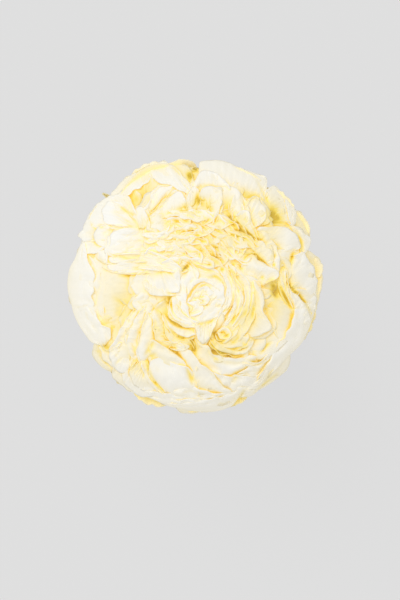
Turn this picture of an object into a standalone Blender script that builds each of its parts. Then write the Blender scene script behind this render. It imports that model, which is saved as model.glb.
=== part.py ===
# A cut double peony standing in water in a small round vase.
# Metres, +Z up, the origin at the centre of the vase's foot, +Y towards the top of the bloom seen from above.
import math

import bmesh
import bpy
import numpy as np
from mathutils.kdtree import KDTree

# Bloom
BLOOM_BASE = 0.1655
DOME_EDGE = 36.0
DOME_RISE = 40.0
DOME_RADIUS = 72.0
DOME_REACH = 0.993 * DOME_RADIUS
STEEP_RADIUS = 64
GUARD_RADIUS = 66
PETAL_THICKNESS = 0.0008
PETAL_SWELL = 0.0050
SMALL_SWELL = 0.0020
GUARD_SWELL = 0.0022
PETAL_CELLS = (4, 4)
UPPER_CELLS = (4, 3)
SMALL_CELLS = (2, 2)
UPPER_START = 0.45
INNER_RADIUS = 60
BUCKLE = 1.3
BUCKLE_WAVES = (4, 1.5, 4.5)
FULL_WIDTH = 14
CORE_PROFILE = ((8.0, 2.0), (20.0, 12.0), (33.0, 27.0), (40.0, 42.0), (42.0, 54.0))
CORE_DROP = 6.0
CORE_STEPS = 5
CORE_SIDES = 28
HEART_PETALS = 12
BLOOM_TRIANGLES = 11400
TOUCH = 0.000003
SINK = 0.00003

# Calyx
CUP_PROFILE = (
    (0.0000, 0.1598),
    (0.0042, 0.1598),
    (0.0062, 0.1612),
    (0.0088, 0.1645),
    (0.0088, 0.1672),
    (0.0000, 0.1672),
)
CUP_SIDES = 20
SEPAL_THICKNESS = 0.0010

# Stem
STEM_RADIUS = 0.0035
STEM_SIDES = 12
STEM_PATH = (
    (-0.0140, 0.0060, 0.0052),
    (-0.0072, 0.0030, 0.0500),
    (0.0010, -0.0004, 0.0880),
    (0.0079, -0.0033, 0.1200),
    (0.0077, -0.0033, 0.1360),
    (0.0026, -0.0011, 0.1480),
    (0.0000, 0.0000, 0.1560),
    (0.0000, 0.0000, 0.1592),
)
STEM_STEPS = 5

# Vase
VASE_OUTER = (
    (0.0000, 0.0000),
    (0.0270, 0.0000),
    (0.0290, 0.0015),
    (0.0310, 0.0060),
    (0.0395, 0.0210),
    (0.0445, 0.0370),
    (0.0462, 0.0530),
    (0.0450, 0.0690),
    (0.0402, 0.0850),
    (0.0318, 0.0990),
    (0.0228, 0.1095),
    (0.0180, 0.1180),
    (0.0165, 0.1260),
    (0.0172, 0.1340),
    (0.0196, 0.1425),
    (0.0230, 0.1490),
    (0.0234, 0.1506),
    (0.0222, 0.1512),
)
VASE_WALL = 0.0035
VASE_FLOOR = 0.0042
FLOOR_RADIUS = 0.0290
FLOOR_EDGE = 0.0040
VASE_SIDES = 40

# Water
WATER_LEVEL = 0.0960
GAP = 0.0003

SEED = 4

# Petals whose places are given: kind, rim seen from above as three points counterclockwise in mm,
# offset from the dome in mm, lean of the tip in degrees (90 outward along the dome, 0 straight up,
# -90 inward along the dome) and how far the blade follows its tip, in mm.
# Kinds: g guard bowing out from the base, u cupped guard, m upper petal, p upper petal with pleats,
# n narrow tip over a broad belly, c small petal; a second letter i marks a petal curled in.
PETALS = (
    # lowest guards
    ("g", (66, -17), (70.3, 1), (70, 9), -6, 60, 25),
    ("g", (70, 5), (70, 13), (60, 19), -5, 70, 22),
    ("g", (64, 25), (62.5, 36), (53, 44), -9, 60, 22),
    ("g", (3, 62), (-4, 70), (-18, 67), -5, 60, 22),
    ("g", (-60, 27), (-65, 17), (-70, 3), -6, 60, 25),
    ("g", (-61, -22), (-57.5, -31), (-46, -44), -9, 50, 22),
    ("g", (-47, -42), (-44, -53), (-32, -58), -8, 60, 22),
    ("g", (-36, -57), (-27, -65.5), (-11, -67), -8, 50, 22),
    ("g", (-12, -67), (-2, -70.3), (14, -69), -9, 45, 22),
    ("g", (15, -67), (24, -66), (31, -60), -8, 40, 20),
    ("g", (27, -61), (39, -56), (48, -47), -8, 50, 22),
    ("g", (44, -51), (52, -42.5), (58, -35), -9, 45, 22),
    ("g", (60, -32), (66, -20), (68, -8), -7, 55, 22),
    # west guards, curled in
    ("gi", (-60, 20), (-55, 5), (-56.5, -11), 2, -88, 42),
    ("gi", (-55, -9), (-51.5, -20), (-45, -31), 1, -88, 38),
    # north west
    ("u", (-2, 56), (-22, 70), (-46, 51), 1, 66, 26),
    ("m", (-42, 51), (-55.5, 45.5), (-62, 33), -1, 92, 30),
    ("m", (-57, 38), (-65, 29), (-61, 22), 0, 92, 26),
    ("m", (-56, 30), (-61, 22), (-59, 13), -2, 90, 24),
    ("p", (-34, 49), (-49, 44), (-48, 30), 0.5, 92, 34),
    ("m", (-48, 38), (-56, 29), (-53, 19), 0, 92, 24),
    ("p", (-42, 34), (-47.5, 24), (-47, 16), 2, 96, 50),
    ("m", (-46, 18), (-48.5, 13), (-46, 8), 0.5, 92, 40),
    ("m", (-45, 12), (-47, 8), (-42, 4), 0, 96, 46),
    ("m", (-10, 55), (-21, 52), (-30, 41), -3, 70, 26),
    ("m", (-3, 49), (-13, 50.5), (-26, 37), -0.5, 76, 30),
    ("m", (-21, 41), (-27, 36), (-25, 30), -1, 80, 22),
    # west hollow
    ("m", (-51, 14), (-53.5, -3), (-50, -21), -8, 55, 26),
    ("m", (-41, 7), (-45, -1), (-42, -9), -6, 74, 28),
    ("m", (-41, -5), (-43, -14), (-36, -21), -5, 76, 24),
    ("m", (-31, 6), (-33, -3), (-29, -12), -3, 84, 24),
    # south west
    ("m", (-47, -27), (-47, -38), (-38, -47), -4, 84, 28),
    ("m", (-43, -37), (-43.5, -48), (-33, -56), -3, 84, 28),
    ("m", (-39, -48), (-35, -58), (-22, -61), -3, 88, 26),
    ("gi", (-32, -57), (-14, -60), (4, -58), -1, -80, 34),
    ("gi", (-11, -63), (6, -62.5), (22, -60), -2, -76, 28),
    ("n", (-35, -12), (-34, -14), (-32, -15.5), -1, -84, 50),
    ("n", (-33, -14), (-32, -16.5), (-29.5, -17.5), 0, -84, 56),
    ("n", (-30, -16), (-28.5, -18), (-26, -18.5), 0.5, -84, 56),
    ("n", (-27, -17), (-25, -19), (-22, -20), 0, -84, 46),
    ("n", (-23, -19), (-20, -21.5), (-16, -22.5), -1, -84, 36),
    # south
    ("mi", (-28, -35), (-14, -42), (-3, -44.5), 1.5, -84, 44),
    ("mi", (-23, -29), (-13, -34.5), (-4, -44), 0.5, -76, 26),
    ("mi", (-6, -33), (1, -41), (9, -49), 1, -76, 26),
    ("mi", (0, -42), (6, -49), (18, -56), -0.5, -76, 26),
    ("m", (-7, -55), (8, -61), (22, -56), -2.5, 88, 26),
    ("mi", (6, -37), (19, -42.5), (34, -38), 1, -86, 30),
    ("mi", (8, -46), (17, -50), (26, -48), -2, -76, 24),
    ("gi", (21, -51), (30, -49), (41, -43), -1, -84, 32),
    ("gi", (19, -60), (30, -57), (39, -50), -2, -78, 24),
    # south east, wrapped round each other
    ("gi", (35, -48), (46, -37), (54, -13), 0.5, -86, 34),
    ("mi", (28, -43), (39, -38), (49, -18), -1, -82, 30),
    ("mi", (23, -39), (36, -36), (44, -23), -2, -78, 26),
    ("gi", (50, -36), (57, -26), (60, -10), -3, -76, 24),
    ("m", (46, -33), (53.5, -14), (49, 4), -3, 66, 26),
    ("m", (33, -30), (42, -21), (34, -13), -1, 92, 22),
    ("m", (8, -31), (15, -37), (28, -36), 0, 60, 18),
    ("m", (14, -31), (22, -34), (31, -28), 0, 60, 16),
    # east
    ("m", (64, -17), (67.5, 1), (60, 16), -1, 92, 28),
    ("m", (60, -15), (57, -7), (51, 4), 0, 84, 20),
    ("m", (60, 16), (57, 29.5), (36, 32.5), 0.5, 90, 34),
    ("m", (62, 17), (64.5, 26), (52, 36), -2, 84, 28),
    ("m", (57, 39), (51, 51), (40, 55.5), -3, 76, 32),
    ("m", (40, 33), (42, 43), (30, 50), 0, 84, 26),
    ("m", (43, 34), (43.5, 45), (33, 52), -3, 72, 26),
    ("m", (48, 1), (47, 8), (36, 13.5), 0, 92, 24),
    ("m", (46, 7), (48, 17), (40, 24), -2, 70, 20),
    ("m", (41, 9), (42, 18), (33, 23), -1, 70, 20),
    ("m", (36, -21), (38, -8), (34, 2), -1, 60, 20),
    # north
    ("p", (40, 56), (26, 67), (1.5, 69), 0, 82, 40),
    ("m", (21, 54), (8, 64.5), (-2, 56), 1, 90, 26),
    ("m", (30, 46), (28, 54), (18, 55), -1, 70, 22),
    ("m", (23, 50), (19, 55.5), (13, 53), -2, 70, 22),
    ("m", (15, 44), (11, 56), (1.5, 53), 0, 62, 24),
    ("m", (2, 54), (-1, 57), (-5, 52), -2, 60, 20),
    ("m", (0, 50), (-4, 53), (-8, 49), -4, 60, 20),
    ("m", (32, 28), (29, 40), (19, 43), -1, 40, 18),
    ("m", (34, 20), (29.5, 26.5), (18, 30), 0, 84, 20),
    # heart
    ("m", (26, -25), (32, -9), (27, 7), 0, 20, 18),
    ("m", (22, -22), (27, -7), (23, 8), 0.5, 10, 16),
    ("m", (17, -21), (22, -7), (18, 6), 1, 0, 14),
    ("m", (30, -27), (36, -10), (33, 4), -1, 40, 18),
    ("mi", (-7, 6), (-12, -3.5), (-25, -4), 1.5, -88, 26),
    ("m", (1, -28), (4, -32), (9, -28), 2, 94, 20),
    ("m", (14, -25), (17, -29), (21, -25), 1, 50, 10),
)
ROSETTE_CENTRE = (3.0, -6.5)
ROSETTE_RING = (150, 190, 232, 275, 70, 110, 30)
ROSETTE_OUTER = (190, 215, 240, 262)
HEART_CENTRE = (5, 25)
HEART_SPREAD = (25, 15)
GOLDEN_ANGLE = 137.508

# Sepals: azimuth in degrees, length seen from above and half width in mm, height of the tip in mm.
SEPALS = (
    (20, 24, 9.0, 6.6),
    (92, 27, 9.5, 7.4),
    (165, 23, 8.5, 6.4),
    (236, 26, 9.0, 6.8),
    (308, 25, 9.5, 6.6),
)
# Leafy bracts under them, narrow and pointed.
BRACTS = (
    (134.7, 72.5, 4.6, 33.0),
    (89.3, 65.8, 4.2, 36.0),
    (250, 44, 4.4, 14.0),
)


def clear_scene():
    for obj in list(bpy.data.objects):
        bpy.data.objects.remove(obj, do_unlink=True)


def material(name, colour, roughness, alpha=1.0):
    mat = bpy.data.materials.new(name)
    mat.use_nodes = True
    shader = mat.node_tree.nodes["Principled BSDF"]
    shader.inputs["Base Color"].default_value = (*colour, 1.0)
    shader.inputs["Roughness"].default_value = roughness
    shader.inputs["Alpha"].default_value = alpha
    return mat


def add_object(name, verts, faces, mat=None):
    """A mesh object whose faces point outward."""
    mesh = bpy.data.meshes.new(name)
    mesh.from_pydata([tuple(v) for v in verts], [], [tuple(f) for f in faces])
    bm = bmesh.new()
    bm.from_mesh(mesh)
    bmesh.ops.recalc_face_normals(bm, faces=bm.faces)
    if bm.calc_volume(signed=True) < 0:
        bmesh.ops.reverse_faces(bm, faces=bm.faces)
    bm.to_mesh(mesh)
    bm.free()
    if mat:
        mesh.materials.append(mat)
    obj = bpy.data.objects.new(name, mesh)
    bpy.context.scene.collection.objects.link(obj)
    return obj


def smooth(obj, degrees):
    obj.data.shade_smooth()
    obj.data.set_sharp_from_angle(angle=math.radians(degrees))


def turned(profile, sides):
    """Vertices and faces of a profile (radius, height) turned about Z, one vertex for a point on the axis."""
    verts, rings = [], []
    angles = [2 * math.pi * k / sides for k in range(sides)]
    for radius, z in profile:
        if radius == 0:
            rings.append([len(verts)] * sides)
            verts.append((0.0, 0.0, z))
        else:
            rings.append(list(range(len(verts), len(verts) + sides)))
            verts += [(radius * math.cos(a), radius * math.sin(a), z) for a in angles]
    faces = []
    for low, high in zip(rings, rings[1:]):
        for k in range(sides):
            j = (k + 1) % sides
            quad = list(dict.fromkeys((low[k], low[j], high[j], high[k])))
            if len(quad) > 2:
                faces.append(quad)
    return verts, faces


def inner_profile(wall, floor):
    """The outside moved inward by a wall, from the floor's centre up to the lip."""
    outer = [p for p in VASE_OUTER if FLOOR_EDGE < p[1] < VASE_OUTER[-1][1] - 0.001]
    points = [(0.0, floor), (FLOOR_RADIUS - wall, floor)]
    for k, (radius, z) in enumerate(outer):
        before = outer[max(k - 1, 0)]
        after = outer[min(k + 1, len(outer) - 1)]
        dr, dz = after[0] - before[0], after[1] - before[1]
        length = math.hypot(dr, dz)
        points.append((radius - wall * dz / length, z + wall * dr / length))
    return points


def catmull(points, steps):
    """Points along a smooth curve through the given ones."""
    pts = np.array(points)
    pts = np.vstack([2 * pts[0] - pts[1], pts, 2 * pts[-1] - pts[-2]])
    out = []
    for a, b, c, d in zip(pts, pts[1:], pts[2:], pts[3:]):
        for k in range(steps):
            t = k / steps
            out.append(0.5 * (2 * b + (c - a) * t + (2 * a - 5 * b + 4 * c - d) * t * t
                              + (3 * b - a - 3 * c + d) * t ** 3))
    out.append(pts[-2])
    return np.array(out)


def tube(path, radius, sides):
    """Vertices and faces of a capped tube whose rings stay level with its path."""
    path = np.array(path)
    along = unit(np.gradient(path, axis=0))
    verts = []
    for point, tangent in zip(path, along):
        side = unit(np.cross(tangent, (0.0, 1.0, 0.0)))
        front = np.cross(side, tangent)
        for k in range(sides):
            a = 2 * math.pi * k / sides
            verts.append(point + radius * (side * math.cos(a) + front * math.sin(a)))
    faces = []
    for ring in range(len(path) - 1):
        for k in range(sides):
            j = (k + 1) % sides
            low, high = ring * sides, (ring + 1) * sides
            faces.append((low + k, low + j, high + j, high + k))
    faces.append(tuple(range(sides))[::-1])
    faces.append(tuple(range((len(path) - 1) * sides, len(path) * sides)))
    return verts, faces


def unit(v):
    return v / np.maximum(np.linalg.norm(v, axis=-1, keepdims=True), 1e-9)


def normals(sheet):
    return unit(np.cross(np.gradient(sheet, axis=0), np.gradient(sheet, axis=1)))


def shell(sheet, thickness, swell=0.0, whole=False):
    """Vertices and triangles of a closed blade about a grid of points, both faces split alike.

    The hidden face swells away from the rim: the outer face, or the inner one where swell is negative.
    A whole blade is thin at its foot as well."""
    rows, cols = sheet.shape[:2]
    out = normals(sheet)
    depth = np.linspace(1, 0, rows)[:, None, None]
    if whole:
        depth = np.sin(math.pi * depth)
    inner = sheet + out * (thickness / 2 + max(-swell, 0) * depth)
    outer = sheet - out * (thickness / 2 + max(swell, 0) * depth)
    verts = np.concatenate([inner.reshape(-1, 3), outer.reshape(-1, 3)])
    count = rows * cols
    faces = []
    for r in range(rows - 1):
        for c in range(cols - 1):
            a, b = r * cols + c, r * cols + c + 1
            d, e = a + cols, b + cols
            faces += [(a, b, e), (a, e, d)]
            faces += [(count + a, count + e, count + b), (count + a, count + d, count + e)]
    edge = list(range(cols))
    edge += [r * cols + cols - 1 for r in range(1, rows)]
    edge += [(rows - 1) * cols + c for c in range(cols - 2, -1, -1)]
    edge += [r * cols for r in range(rows - 2, 0, -1)]
    for p, q in zip(edge, edge[1:] + edge[:1]):
        faces += [(p, count + q, q), (p, count + p, count + q)]
    return verts, faces


def dome(radius):
    """Height of the bloom's top, in mm over its base."""
    radius = np.minimum(radius, DOME_REACH)
    return DOME_EDGE + DOME_RISE * np.sqrt(1 - (radius / DOME_RADIUS) ** 3)


def dome_fall(radius):
    """How steeply the top falls away, in mm per mm of radius."""
    radius = np.minimum(radius, STEEP_RADIUS)
    return DOME_RISE * 1.5 * radius ** 2 / DOME_RADIUS ** 3 / np.sqrt(1 - (radius / DOME_RADIUS) ** 3)


def waves(rng, count, low, high):
    """Random sine waves over a petal: frequency along its width and length, phase, weight."""
    return [(rng.uniform(low, high) * rng.choice([-1, 1]), rng.uniform(low, high), rng.uniform(0, 6.283),
             rng.uniform(0.5, 1)) for _ in range(count)]


def field(components, u, v):
    return sum(w * np.sin(f * u + g * v + p) for f, g, p, w in components) / len(components)


def petal(row, cells_u, cells_v, first, rng):
    """Middle surface of one petal, in mm from the bloom's base, from a share of its length to its rim."""
    kind, left, middle, right, offset, lean, reach = row
    left, middle, right = (np.array([*p, 0.0]) for p in (left, middle, right))
    up = np.array([0.0, 0.0, 1.0])
    u = np.linspace(-1, 1, cells_u + 1)[None, :, None]
    v = np.linspace(first, 1, cells_v + 1)[:, None, None]

    # The rim seen from above and the way its tip points.
    rim = left * u * (u - 1) / 2 + middle * (1 - u * u) + right * u * (u + 1) / 2
    slope = left * (2 * u - 1) / 2 - middle * 2 * u + right * (2 * u + 1) / 2
    chord = unit(right - left)
    run = unit(0.6 * unit(slope) + 0.8 * chord)
    out = np.stack([run[..., 1], -run[..., 0], 0 * run[..., 0]], -1)
    width = np.linalg.norm(right - left) / 2
    radius = np.linalg.norm(rim, axis=-1, keepdims=True)
    incurved = lean < 0
    if kind[0] in "gu":
        fall = 0.45 * dome_fall(radius) * (unit(rim) * out).sum(-1, keepdims=True) * (kind != "u")
        height = dome(np.minimum(radius, GUARD_RADIUS)) + offset
    else:
        shifted = rim + out * (0.35 * reach if incurved else 0)
        far = np.linalg.norm(shifted, axis=-1, keepdims=True)
        fall = dome_fall(far) * (unit(shifted) * out).sum(-1, keepdims=True)
        height = dome(radius) + offset
    angle = np.radians(lean) + np.arctan(fall)
    tip = out * np.sin(angle) + up * np.cos(angle)
    rim = rim + up * height

    # Rounded shoulders.
    bend = u ** 4
    if incurved:
        length = reach * (1 - 0.4 * bend)
        rim = rim - up * (width * 0.12 * bend)
        belly = 2.4 if kind == "n" else 1.03
    else:
        length = reach * (1 - 0.1 * bend)
        rim = rim - tip * (width * 0.14 * bend)
        belly = 1.15

    # The foot on the receptacle and the curve from there to the rim.
    half = cells_u // 2
    mid = rim[:, half: half + 1]
    mid_out = unit(out.sum(axis=1, keepdims=True))
    belly_place = (mid + mid_out * (reach * 0.8 if incurved else 0)) * [1, 1, 0]
    ray = unit(belly_place)
    inner = min(max(1 - float(np.linalg.norm(belly_place)) / INNER_RADIUS, 0), 1)
    foot = ray * (7 - 2 * inner) + up * (5 + 16 * inner)
    claw = 3.0 + 0.10 * width
    p0 = foot + chord * claw * u
    p2 = mid + (rim - mid) * belly - tip * length
    p2_mid = p2.mean(axis=1, keepdims=True)
    if kind[0] == "g":
        start = unit(ray * (1.25 - inner) + up * (0.12 + 0.9 * inner))
        p1 = foot + start * np.linalg.norm(mid - foot) * 0.42
    elif incurved:
        p1 = foot + (p2_mid - foot) * [0.85, 0.85, 0.5]
    else:
        p1 = foot + 0.55 * (p2_mid - foot) + up * float(mid[0, 0, 2]) * 0.24
    p1 = p1 + chord * (claw + 0.85 * (width * belly - claw)) * u
    sheet = (1 - v) ** 3 * p0 + 3 * (1 - v) ** 2 * v * p1 + 3 * (1 - v) * v * v * p2 + v ** 3 * rim
    sheet = np.broadcast_to(sheet, (cells_v + 1, cells_u + 1, 3)).copy()
    if kind == "u":
        sheet[..., 2] += 8 * u[..., 0] ** 2 * v[..., 0] * (1.6 - v[..., 0])

    # Gentle buckling.
    size = min(1.0, width / FULL_WIDTH)
    lift = BUCKLE * size * v[..., 0] * field(waves(rng, *BUCKLE_WAVES), u[..., 0], 2 * v[..., 0])
    return sheet + normals(sheet) * lift[..., None]


def arc(radius, azimuth, half_angle):
    """Three points of an arc about the rosette's centre."""
    cx, cy = ROSETTE_CENTRE
    angles = [math.radians(azimuth + s * half_angle) for s in (-1, 0, 1)]
    return [(cx + radius * math.cos(a), cy + radius * math.sin(a)) for a in angles]


def rosette():
    """Petals wrapped round each other in the heart."""
    rows = [("c", *arc(9.6 - 0.72 * k, 20 + GOLDEN_ANGLE * k, 64), 1 + 0.16 * k, 2 * k - 76, 13 - 0.5 * k)
            for k in range(12)]
    rows += [("c", *arc(15 + 0.7 * (k % 3), azimuth, 34), 0.5 - 0.4 * (k % 3), -72, 14)
             for k, azimuth in enumerate(ROSETTE_RING)]
    rows += [("c", *arc(21.5 + 0.8 * (k % 2), azimuth, 24), -0.5, -70, 14)
             for k, azimuth in enumerate(ROSETTE_OUTER)]
    return rows


def heart(count, rng):
    """Small crumpled petals over the upper heart."""
    rows = []
    for k in range(count):
        turn = math.radians(GOLDEN_ANGLE * k)
        spread = math.sqrt((k + 0.5) / count)
        x = HEART_CENTRE[0] + HEART_SPREAD[0] * spread * math.cos(turn) + rng.uniform(-1.5, 1.5)
        y = HEART_CENTRE[1] + HEART_SPREAD[1] * spread * math.sin(turn) + rng.uniform(-1.5, 1.5)
        face = math.atan2(y + 8, x - 2) + rng.normal(0, 1.1)
        width = rng.uniform(3.5, 8)
        side = np.array([-math.sin(face), math.cos(face)]) * width
        front = np.array([math.cos(face), math.sin(face)]) * width * rng.uniform(0, 0.6)
        place = np.array([x, y])
        rows.append(("c", tuple(place - side), tuple(place + front), tuple(place + side),
                     -rng.uniform(0, 3), rng.choice([-80, -60, 20, 50, 75, 88]), rng.uniform(14, 20)))
    return rows


def sepal(azimuth, length, half_width, tip_height, pointed):
    """Middle surface of one sepal or bract, in mm from the bloom's base."""
    a = math.radians(azimuth)
    ray = np.array([math.cos(a), math.sin(a), 0])
    side = np.array([-math.sin(a), math.cos(a), 0])
    up = np.array([0, 0, 1])
    cells_u, cells_v = (2, 10) if pointed else (4, 6)
    sheet = np.zeros((cells_v + 1, cells_u + 1, 3))
    for r in range(cells_v + 1):
        v = r / cells_v
        reach = 5 + (length - 5) * v
        z = -0.8 + (tip_height + 0.8) * v ** (2.6 if pointed else 2.0)
        if pointed:
            breadth = half_width * (0.55 + 0.9 * v) * (1 - v ** 3) + 0.5
        else:
            breadth = half_width * math.sqrt(max(1 - (1.75 * v - 0.85) ** 2 * 0.98, 0.0)) + 1.0
        for c in range(cells_u + 1):
            u = 2 * c / cells_u - 1
            sheet[r, c] = ray * reach + side * breadth * u + up * (z + 1.1 * u * u * v)
    return sheet


def fuse(name, operands, mat):
    """One solid from several overlapping ones; pockets shut inside it are filled."""
    pieces = bpy.data.collections.new(name + " pieces")
    bpy.context.scene.collection.children.link(pieces)
    base, others = operands[0], operands[1:]
    for obj in others:
        pieces.objects.link(obj)
        bpy.context.scene.collection.objects.unlink(obj)
    join = base.modifiers.new("join", "BOOLEAN")
    join.operation = "UNION"
    join.operand_type = "COLLECTION"
    join.collection = pieces
    join.solver = "MANIFOLD"
    bpy.context.view_layer.objects.active = base
    bpy.ops.object.modifier_apply(modifier=join.name)
    for obj in list(pieces.objects):
        bpy.data.objects.remove(obj, do_unlink=True)
    bpy.data.collections.remove(pieces)
    base.name = name
    base.data.name = name
    keep_outer_surface(base.data)
    base.data.materials.clear()
    base.data.materials.append(mat)
    return base


def keep_outer_surface(mesh):
    """Keep only the surface that encloses the most."""
    bm = bmesh.new()
    bm.from_mesh(mesh)
    bmesh.ops.triangulate(bm, faces=bm.faces)
    unseen = set(bm.faces)
    islands = []
    while unseen:
        island, front = [], [unseen.pop()]
        while front:
            face = front.pop()
            island.append(face)
            for edge in face.edges:
                if len(edge.link_faces) != 2:
                    continue
                for other in edge.link_faces:
                    if other in unseen:
                        unseen.remove(other)
                        front.append(other)
        volume = sum(f.verts[0].co.dot(f.verts[1].co.cross(f.verts[2].co)) for f in island) / 6
        islands.append((volume, island))
    islands.sort(key=lambda item: item[0])
    for _, island in islands[:-1]:
        bmesh.ops.delete(bm, geom=island, context="FACES")
    bm.to_mesh(mesh)
    bm.free()


def draw_apart(mesh):
    """Sink the points where two stretches of surface touch."""
    bm = bmesh.new()
    bm.from_mesh(mesh)
    tree = KDTree(len(bm.verts))
    for vert in bm.verts:
        tree.insert(vert.co, vert.index)
    tree.balance()
    touching = [v for v in bm.verts if len(tree.find_range(v.co, TOUCH)) > 1]
    for vert in touching:
        vert.co -= vert.normal * SINK
    bm.to_mesh(mesh)
    bm.free()


def thin_out(obj, triangles):
    """Merge the smallest triangles left where blades cross, down to a given number."""
    merge = obj.modifiers.new("thin out", "DECIMATE")
    merge.ratio = triangles / len(obj.data.polygons)
    bpy.context.view_layer.objects.active = obj
    bpy.ops.object.modifier_apply(modifier=merge.name)
    draw_apart(obj.data)
    keep_outer_surface(obj.data)


def build_vase():
    profile = list(VASE_OUTER) + inner_profile(VASE_WALL, VASE_FLOOR)[::-1]
    verts, faces = turned(profile, VASE_SIDES)
    vase = add_object("vase", verts, faces, material("glaze", (0.78, 0.77, 0.73), 0.25))
    smooth(vase, 35)


def build_stem(path):
    verts, faces = tube(path, STEM_RADIUS, STEM_SIDES)
    stem = add_object("stem", verts, faces, material("stem green", (0.22, 0.35, 0.10), 0.5))
    smooth(stem, 50)


def build_water(path):
    """The water inside the vase, with a hole where the stem stands in it."""
    wall = inner_profile(VASE_WALL + GAP, VASE_FLOOR + GAP)
    above = next(k for k, point in enumerate(wall) if point[1] >= WATER_LEVEL)
    (r0, z0), (r1, z1) = wall[above - 1], wall[above]
    surface = r0 + (r1 - r0) * (WATER_LEVEL - z0) / (z1 - z0)
    verts, faces = turned(wall[:above] + [(surface, WATER_LEVEL), (0.0, WATER_LEVEL)], VASE_SIDES)
    water = add_object("water", verts, faces, material("water", (0.80, 0.90, 0.92), 0.05, 0.4))
    longer = np.vstack([2 * path[0] - path[1], path])
    hole_verts, hole_faces = tube(longer, STEM_RADIUS + GAP, STEM_SIDES)
    cutter = add_object("stem hole", hole_verts, hole_faces)
    cutter.display_type = "WIRE"
    cutter.hide_render = True
    cut = water.modifiers.new("stem hole", "BOOLEAN")
    cut.operation = "DIFFERENCE"
    cut.object = cutter
    cut.solver = "EXACT"
    bpy.context.view_layer.objects.active = water
    bpy.ops.object.modifier_apply(modifier=cut.name)
    bpy.data.objects.remove(cutter, do_unlink=True)
    smooth(water, 35)


def build_sepals():
    verts, faces = turned(CUP_PROFILE, CUP_SIDES)
    blades = [add_object("cup", verts, faces)]
    for pointed, rows in ((False, SEPALS), (True, BRACTS)):
        for row in rows:
            sheet = sepal(*row, pointed) / 1000 + [0, 0, BLOOM_BASE]
            blades.append(add_object("blade", *shell(sheet, SEPAL_THICKNESS)))
    sepals = fuse("sepals", blades, material("calyx green", (0.30, 0.36, 0.12), 0.55))
    smooth(sepals, 40)


def core_profile():
    """The bloom's solid heart, from its base round to the top of the axis."""
    edge = CORE_PROFILE[-1][0]
    top = [(edge * (1 - k / CORE_STEPS), float(dome(edge * (1 - k / CORE_STEPS))) - CORE_DROP)
           for k in range(CORE_STEPS + 1)]
    points = [(0.0, CORE_PROFILE[0][1]), *CORE_PROFILE, *top]
    return [(radius / 1000, BLOOM_BASE + z / 1000) for radius, z in points]


def build_petals():
    verts, faces = turned(core_profile(), CORE_SIDES)
    blades = [add_object("core", verts, faces)]
    rows = list(PETALS) + rosette() + heart(HEART_PETALS, np.random.default_rng(SEED))
    for k, row in enumerate(rows):
        if row[0] == "c":
            cells, first, swell = SMALL_CELLS, UPPER_START, SMALL_SWELL
        elif row[0] in ("m", "p"):
            cells, first, swell = UPPER_CELLS, UPPER_START, PETAL_SWELL
        else:
            cells, first, swell = PETAL_CELLS, 0, PETAL_SWELL
        whole = first == 0
        if row[5] < 0:
            swell = -swell
        elif whole:
            swell = GUARD_SWELL
        sheet = petal(row, *cells, first, np.random.default_rng(SEED + 1 + k)) / 1000 + [0, 0, BLOOM_BASE]
        blades.append(add_object("blade", *shell(sheet, PETAL_THICKNESS, swell, whole)))
    petals = fuse("petals", blades, material("petal cream", (0.95, 0.91, 0.76), 0.6))
    thin_out(petals, BLOOM_TRIANGLES)
    smooth(petals, 50)


clear_scene()
stem_path = catmull(STEM_PATH, STEM_STEPS)
build_vase()
build_water(stem_path)
build_stem(stem_path)
build_sepals()
build_petals()
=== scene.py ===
# Looks of the cut peony in its vase: every petal as its own thin, veined blade, a ribbed calyx,
# a ridged stem and a thrown stoneware vase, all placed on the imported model.
import math
from collections import namedtuple

import bpy
import numpy as np
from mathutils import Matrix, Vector


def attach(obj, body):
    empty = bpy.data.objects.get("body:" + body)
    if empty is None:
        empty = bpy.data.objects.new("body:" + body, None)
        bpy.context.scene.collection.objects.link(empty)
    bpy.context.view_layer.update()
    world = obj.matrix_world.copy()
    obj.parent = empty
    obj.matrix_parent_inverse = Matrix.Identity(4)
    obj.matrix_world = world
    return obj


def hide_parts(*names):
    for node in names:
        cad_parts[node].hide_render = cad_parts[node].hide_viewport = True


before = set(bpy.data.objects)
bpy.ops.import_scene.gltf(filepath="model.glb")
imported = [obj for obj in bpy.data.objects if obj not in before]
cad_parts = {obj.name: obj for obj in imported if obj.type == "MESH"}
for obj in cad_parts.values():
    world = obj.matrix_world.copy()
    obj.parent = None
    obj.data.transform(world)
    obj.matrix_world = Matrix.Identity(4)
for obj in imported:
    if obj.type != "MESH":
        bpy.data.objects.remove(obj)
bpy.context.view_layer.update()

# A millimetre in metres, the way up, and what takes a point's height away.
MM = 0.001
UP = np.array([0.0, 0.0, 1.0])
PLAN = np.array([1, 1, 0])

# Camera: straight over the bloom, in metres, with this many mm on a pixel at the bloom's widest plane, and
# the pixel of the bloom's axis.
MM_PER_PIXEL = 0.55
IMAGE = (400, 600)
BLOOM_PIXEL = (195, 286)
WIDEST_PLANE = 0.045
CAMERA_DISTANCE = 1.2
SENSOR_HEIGHT = 36.0

# Strengths of the even surroundings, the lamp and the floor; the lamp's place in metres and width in degrees.
WORLD_STRENGTH = 0.79
LAMP_STRENGTH = 0.85
LAMP_PLACE = (-0.35, 0.40, 1.3)
LAMP_WIDTH = 35
FLOOR_STRENGTH = 0.615
FLOOR_REACH = 4

# The bloom's base is the top of the stem, in metres. The bloom's rounded top is a dome over it, in mm, whose
# fall is measured no further out than the steep radius. SPREAD of the drawn width is kept, and petals are as
# thick as BLADE, in mm.
BLOOM_BASE = 0.1655
DOME_EDGE = 36.0
DOME_RISE = 40.0
DOME_RADIUS = 72.0
DOME_REACH = 0.993 * DOME_RADIUS
STEEP_RADIUS = 64
SPREAD = 0.988
BLADE = 0.22

# Seeds of the random draws.
SEED = 4
GUARD_SEED = 300
SMALL_SEED = 500
BEHIND_SEED = 900

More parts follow.
